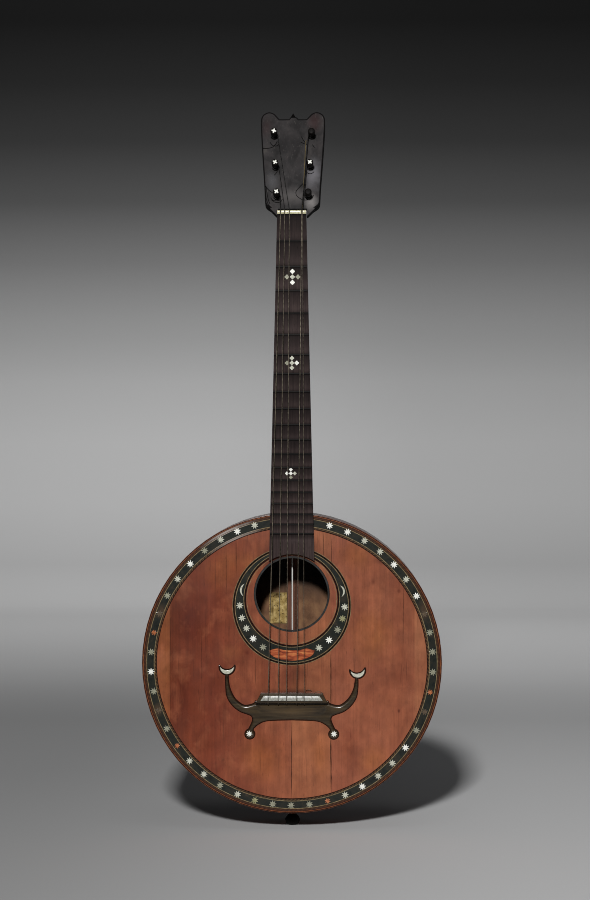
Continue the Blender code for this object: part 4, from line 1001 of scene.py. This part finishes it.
def inside(points, outline):
    """Which points lie within a closed outline."""
    x, y = points[:, 0], points[:, 1]
    odd = np.zeros(len(points), bool)
    for (x1, y1), (x2, y2) in zip(outline, outline[1:] + outline[:1]):
        crosses = (y1 > y) != (y2 > y)
        with np.errstate(divide="ignore", invalid="ignore"):
            odd ^= crosses & (x < (x2 - x1) * (y - y1) / (y2 - y1) + x1)
    return odd


right = bridge_half(RIGHT_ARM_DROP, RIGHT_MOON_LEAN)
left = [(-x, y) for x, y in reversed(bridge_half(0.0, 0.0))]
outline = right + left[:-1]
FLOOR, NET = FACE + 0.0003, 0.0010
carved_edge = right[:-1], left[1:]
gx, gy = np.meshgrid(np.arange(-0.099, 0.099, NET), np.arange(-0.101, 0.006, NET))
net = np.column_stack([gx.ravel(), gy.ravel()])
net = net[inside(net, outline)]
closed = outline + outline[:1]
net = net[away_from(net, closed) > 0.45 * NET]
flat = [Vector(p) for p in outline] + [Vector(p) for p in net]
rim_count = len(outline)
made_flat, _, triangles, *_ = delaunay_2d_cdt(flat, [(i, (i + 1) % rim_count) for i in range(rim_count)],
                                              [], 1, 1e-7)
print(len(flat), "net points,", len(triangles), "triangles")

# %% [markdown]
# The height has two parts. The whole plate is rounded over 3 mm at its carved edge, and the middle
# swells to a ridge beside the string groove. The groove's own wall is left upright.

# %% Bridge height
spots = np.array([tuple(p) for p in made_flat])
edge = np.minimum(away_from(spots, carved_edge[0]), away_from(spots, carved_edge[1]))
rounding = np.sqrt(1 - (1 - np.clip(edge / 0.0032, 0, 1)) ** 2)
ridge_half = smooth_run([(0.0477, -0.0551), (0.0455, -0.0625), (0.0340, -0.0690), (0, -0.0718)], 6)
ridge_run = ridge_half + [(-x, y) for x, y in reversed(ridge_half[:-1])]
in_ridge = inside(spots, ridge_run)
swell = np.where(in_ridge, np.clip(away_from(spots, ridge_run) / 0.0075, 0, 1), 0)
swell = swell * swell * (3 - 2 * swell)
heights = FLOOR + (0.0035 + 0.0027 * swell) * (0.22 + 0.78 * rounding)

top = [(x, y, h) for (x, y), h in zip(spots, heights)]
count = len(top)
under = [(x, y, FLOOR) for x, y in spots]
sides = {}
for t in triangles:
    for a, b in zip(t, (*t[1:], t[0])):
        sides[(a, b)] = sides.get((a, b), 0) + 1
walls = [(b, a, a + count, b + count) for (a, b) in sides if (b, a) not in sides]
faces = [tuple(t) for t in triangles] + [tuple(i + count for i in reversed(t)) for t in triangles] + walls

# Black-stained pear: satin from handling; olive brown where the stain has thinned.
bridge_wood, tree = new_finish("handled_ebonised_pear")
streaks = mottle(tree, (50, 3, 3), detail=5, wander=0.3)
tone = ramp(tree, streaks, [(0.28, "#221B12"), (0.5, "#33291B"), (0.72, "#453825")])
tone = stains_and_painted_light(tree, tone, (
    ("#5A4830", 0.55, (0.0, -0.064, 0.045, 0.010)), ("#5A4830", 0.3, (-0.06, -0.058, 0.016, 0.010)),
    ("#5A4830", 0.3, (0.06, -0.058, 0.016, 0.010))))
out = world_place(tree)["Y"]
# The lowest 3 mm of the bridge turn nearly black: black stain left unworn, and painted shade where it meets the
# board.
low_edge_stain_and_shade = remap(tree, out, -(FLOOR + 0.0029), -(FLOOR + 0.0018))
tone = tinted(tree, tone, low_edge_stain_and_shade, "#090705")
shine = remap(tree, mottle(tree, (8, 8, 8), detail=4), to_low=0.18, to_high=0.30)
bump = uneven(tree, mottle(tree, (9, 1, 1), detail=3), 0.05)
surface(tree, tone, shine, ior=1.5, normal=bump)
carved = piece("bridge_carved", top + under, faces, bridge_wood, crease=50)
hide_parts("bridge")
# A painted contact shadow: a thin near-black sheet just outside the bridge's outline.
plate("bridge_painted_contact_shadow", [grown(outline, 0.0008)], FACE - 0.0003, FACE + 0.0001, dirt,
      edge=0.00004)
plate("bridge_seat", [[(-0.0477, -0.0521), (0.0477, -0.0521), (0.0410, -0.0393), (-0.0410, -0.0393)]],
      FLOOR, FLOOR + 0.0094, bridge_wood, edge=0.0009)
plate("groove_floor", [[(-0.0477, -0.0552), (0.0477, -0.0552), (0.0477, -0.0500), (-0.0477, -0.0500)]],
      FLOOR, FLOOR + 0.0030, bridge_wood, edge=0.0002)

# %% Pearl on the bridge
for name, side, drop, lean, nudge in (("left", -1, 0.0, 0.0, -0.0006),
                                      ("right", 1, RIGHT_ARM_DROP, RIGHT_MOON_LEAN, 0.0004)):
    across, up = moon_place(drop, lean)
    plate(f"pearl_moon_{name}", [moon((side * across, up), 0.0090, 0.0110, 0.0068, lean)],
          FLOOR + 0.003, FLOOR + 0.00372, pearl_half_painted_flash, edge=0.00015)
    plate(f"foot_star_{name}", [star(side * FOOT_PLACE[0] + nudge, -0.0932, 0.0041, 0.1)],
          FLOOR + 0.003, FLOOR + 0.00368, pearl_painted_flash, edge=0.0001)
print("bridge carved and inlaid")

# %% [markdown]
# ## Head and pegs
# The head is veneered. Its black veneer has faded to a warm grey, with a reddish bloom at its upper
# corners; pale grey patches low on it are a painted sheen and a darker place above them is painted
# shade. Its edges are black: black stain, and painted shade.

# %% Head veneer
# Near black for the head's edges and cheeks, the knob and the string ends: black stain, with painted shade on the
# edges.
black_stain_and_edge_shade = plain_wood("black_stain_and_painted_edge_shade", "#050404", "#080707", "#0D0B0B", (2.5, 2.5, 30), 0.7,
                        gloss=0.05)
dress(["headstock"], black_stain_and_edge_shade, ease=0.0010)

veneer, tree = new_finish("faded_veneer_painted_sheen")
tone = ramp(tree, mottle(tree, (14, 14, 22), detail=5, wander=0.5),
            [(0.28, "#191717"), (0.45, "#242222"), (0.6, "#2F2C2C"), (0.8, "#403C39")])
# Reddish bloom at the upper corners; pale grey patches low on the head are painted sheen, the dark one above them
# painted shade.
tone = stains_and_painted_light(tree, tone, (
    ("#3E2020", 0.35, (0.030, 0.722, 0.014, 0.020)), ("#342020", 0.35, (-0.034, 0.715, 0.012, 0.022)),
    ("#5E5A58", 0.5, (0.0, 0.620, 0.034, 0.016)), ("#7C7876", 0.8, (0.026, 0.612, 0.012, 0.016)),
    ("#6A686C", 0.8, (0.028, 0.650, 0.016, 0.030)), ("#181617", 0.7, (-0.002, 0.690, 0.022, 0.026)),
    ("#4E4E50", 0.6, (-0.026, 0.640, 0.012, 0.018))), (9, 9, 9))
scuffs = remap(tree, mottle(tree, (1.8, 1.8, 5), detail=3, seed=(4, 4, 2)), 0.6, 0.8, to_high=0.4)
tone = tinted(tree, tone, scuffs, "#5E5954")
shine = remap(tree, mottle(tree, (10, 10, 16), detail=4, seed=(1, 1, 3)), to_low=0.20, to_high=0.32)
surface(tree, tone, shine, ior=1.5, specular=0.2)

HEAD_RIGHT = ((0.0253, 0), (0.0302, 0.0032), (0.0349, 0.0072), (0.0366, 0.0130), (0.0376, 0.0330),
              (0.0407, 0.0780), (0.0430, 0.1220), (0.0413, 0.1337), (0.0368, 0.1380), (0.0314, 0.1396),
              (0.0255, 0.1374), (0.0215, 0.1332), (0.0182, 0.1294))
BUMP = [(0.0070, 0.1294), (0.0060, 0.1313), (0.0036, 0.1327), (-0.0028, 0.1327), (-0.0042, 0.1313),
        (-0.0050, 0.1294)]
half = smooth_run(HEAD_RIGHT, 4)
head_shape = half + BUMP + [(-x, y) for x, y in reversed(half)]
PEG_PLACES = {"low_e": (-0.0210, 0.0185), "a": (-0.0231, 0.0600), "d": (-0.0250, 0.1045),
              "g": (0.0250, 0.1045), "b": (0.0231, 0.0600), "high_e": (0.0210, 0.0185)}
holes = [arc(place, 0.0046, 0, 2 * pi, 28)[:-1] for place in PEG_PLACES.values()]
plate("head_veneer", [grown(head_shape, -0.0017), *holes], -0.0004, 0.00015, veneer,
      home=HEAD, edge=0.00006)

# %% [markdown]
# Below the veneer the head narrows to the nut in two small cheeks, glued on beside the neck.

# %% Cheeks
CHEEK = ((0.0192, 0.0010), (0.0302, 0.0010), (0.0206, -0.0090), (0.0192, -0.0090))
CHEEK_VENEER = ((0.0192, 0.0030), (0.0290, 0.0030), (0.0293, 0.0018), (0.0197, -0.0082),
                (0.0192, -0.0082))
for name, side in (("left", -1), ("right", 1)):
    plate(f"head_cheek_{name}", [[(side * x, y) for x, y in CHEEK]], -0.0070, -0.0001,
          black_stain_and_edge_shade, home=HEAD)
    plate(f"cheek_veneer_{name}", [[(side * x, y) for x, y in CHEEK_VENEER]], -0.0004, 0.00012,
          veneer, home=HEAD, edge=0.00006)
print("two cheeks")

# %% [markdown]
# The pegs are turned and filed ebony, polished by fingers. Each is a round shaft with a knob in
# front and a flat, leaf-shaped grip behind. They are lofted from rings that go from round to oval,
# with more rings and steps than the solids have.

# %% Pegs
# Ebony: near black, fine pored, with a soft hand polish.
ebony = plain_wood("turned_ebony", "#080707", "#0F0D0C", "#1A1614", (1.5, 1.5, 12), 0.5, 0.2, gloss=0.06)
dress(["head_knob"], black_stain_and_edge_shade, crease=50)

GRIP = ((0.00, 0.0049, 0.0049), (0.06, 0.0041, 0.0030), (0.18, 0.0062, 0.0030), (0.40, 0.0095, 0.0030),
        (0.62, 0.0100, 0.0027), (0.85, 0.0072, 0.0022), (1.00, 0.0030, 0.0014))
rings = [(0.0200, 0.0001, 0.0001), (0.0200, 0.0024, 0.0024), (0.01985, 0.0034, 0.0034),
         (0.0194, 0.0041, 0.0041), (0.0187, 0.0045, 0.0045), (0.0104, 0.0045, 0.0045),
         (0.0092, 0.0041, 0.0041), (0.0085, 0.0034, 0.0034), (-0.0150, 0.00405, 0.00405),
         (-0.0153, 0.0056, 0.0056), (-0.0158, 0.0058, 0.0058), (-0.0176, 0.0055, 0.0055)]
rings += [(-0.0183 - 0.021 * p[0], p[1], p[2]) for p in bent(GRIP, 4)]
rings += [(-0.0393, 0.0001, 0.0001)]
CROSS_TURNS = {"low_e": -35, "a": -28, "d": -14, "b": -38}
steps = 32
for name, (x, y) in PEG_PLACES.items():
    points = [(x + w * cos(2 * pi * i / steps), y + t * sin(2 * pi * i / steps), h)
              for h, w, t in rings for i in range(steps)]
    body = "peg_" + name
    peg = piece("turned_" + body, points, lofted(len(rings), steps), ebony, body=body,
                home=HEAD, crease=60)
    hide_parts(body)
    if name in CROSS_TURNS:
        plate("peg_cross_" + name, [lozenge(x, y, 0.0034, 0.55, 28, radians(CROSS_TURNS[name]))], 0.0190,
              0.02012, pearl_painted_flash, body=body, home=HEAD, edge=0.00008)
print("six pegs,", len(CROSS_TURNS), "with pearl crosses")

# %% [markdown]
# ## Strings
# Five strings are left. All are drawn as wound with silvered wire, now brown; the windings are
# 1.6 mm apart, several times coarser than real, so that they show. The sixth is broken:
# a curl of it lies at the bridge and its other end is still on its peg.

# %% String finishes
string_wire, tree = new_finish("wound_string_wire")
turns = world_place(tree)["Z"]
bands = maths(tree, "SINE", maths(tree, "MULTIPLY", turns, 3900.0))
tone = ramp(tree, mottle(tree, (6, 6, 25), detail=4),
            [(0.3, "#38332A"), (0.5, "#585044"), (0.75, "#7A7060")])
dull = remap(tree, bands, low=-1.0, to_low=0.88, to_high=1.06)
tone = scaled(tree, tone, dull)
# Near black above the nut: grime, and painted shade over the head.
grime_and_painted_shade = remap(tree, turns, 0.8135, 0.8195)
tone = tinted(tree, tone, grime_and_painted_shade, "#0C0A08")
bump = uneven(tree, bands, 0.25)
surface(tree, tone, 0.4, metallic=0.6, normal=bump)
dress(["string_low_e", "string_a", "string_d", "string_g", "string_b", "string_remnant"], string_wire,
      crease=60)

# %% [markdown]
# The loose ends past the pegs are drawn from the pegs' places outwards, lying on the veneer.

# %% Loose ends
def on_head(points, above=0.0006):
    return [(x, y, above) for x, y in points]


tails = [[(-0.0210, 0.0975), (-0.0228, 0.0938), (-0.0274, 0.0890), (-0.0338, 0.0874), (-0.0402, 0.0873)],
         [(-0.0204, 0.0545), (-0.0226, 0.0512), (-0.0250, 0.0488)],
         [(-0.0248, 0.0230), (-0.0300, 0.0264), (-0.0335, 0.0300), (-0.0368, 0.0345)],
         [(-0.0368, 0.0345), (-0.0362, 0.0240), (-0.0344, 0.0140), (-0.0318, 0.0072), (-0.0276, 0.0030)],
         [(-0.0352, 0.0330), (-0.0338, 0.0222), (-0.0318, 0.0132), (-0.0300, 0.0085)],
         [(-0.0278, 0.0140), (-0.0245, 0.0113), (-0.0200, 0.0102), (-0.0155, 0.0116), (-0.0136, 0.0150)],
         [(-0.0290, 0.0170), (-0.0262, 0.0138), (-0.0212, 0.0125), (-0.0160, 0.0138)],
         [(0.0150, 0.0384), (0.0094, 0.0322), (0.0048, 0.0262), (0.0054, 0.0200), (0.0120, 0.0148),
          (0.0190, 0.0138), (0.0255, 0.0165), (0.0282, 0.0205)],
          [(0.0176, 0.0548), (0.0205, 0.0516), (0.0248, 0.0512), (0.0286, 0.0540)],
          [(0.0178, 0.0940), (0.0150, 0.0975), (0.0112, 0.1040)],
          [(0.0186, 0.0925), (0.0140, 0.0945), (0.0106, 0.0962)],
          [(0.0262, 0.0925), (0.0280, 0.0896), (0.0286, 0.0880)],
          [(-0.0305, 0.0960), (-0.0272, 0.0918), (-0.0222, 0.0908), (-0.0186, 0.0930)]]
# The loose ends are near black like the strings above the nut: grime, and painted shade.
wire("string_tails", [on_head(t) for t in tails], 0.0004, black_stain_and_edge_shade, home=HEAD)
# Old gut gone golden brown: a second strand beside the g string, held by its peg and by the nut.
golden_gut = plain_wood("golden_old_gut", "#40361F", "#5A4E2E", "#6E603C", (3, 3, 8), 0.4, 0.2)
wire("second_strand", [[(0.0178, 0.0985, 0.0010), (0.0171, 0.0930, 0.0011), (0.0152, 0.0481, 0.0012),
                        (0.0137, 0.0138, 0.0012), (0.0134, 0.0010, 0.0008)]], 0.00045, golden_gut,
                        home=HEAD)
wire("broken_curls", [[(0.0190, -0.0365, 0.0462), (0.0205, -0.0352, 0.0475), (0.0235, -0.0350, 0.0480),
                       (0.0262, -0.0362, 0.0470)], [(0.0300, -0.0392, 0.0548), (0.0330, -0.0372, 0.0535),
                                                    (0.0375, -0.0370, 0.0530), (0.0420, -0.0395,
        0.0520)]], 0.00035, string_wire)
print(len(tails), "tails")

# %% [markdown]
# ## End pin
# The pin in the tail is ebony, turned with a waist and a round button. Its solid is smooth enough, so
# it only gets its finish.

# %% End pin
dress(["end_pin"], ebony, crease=50)
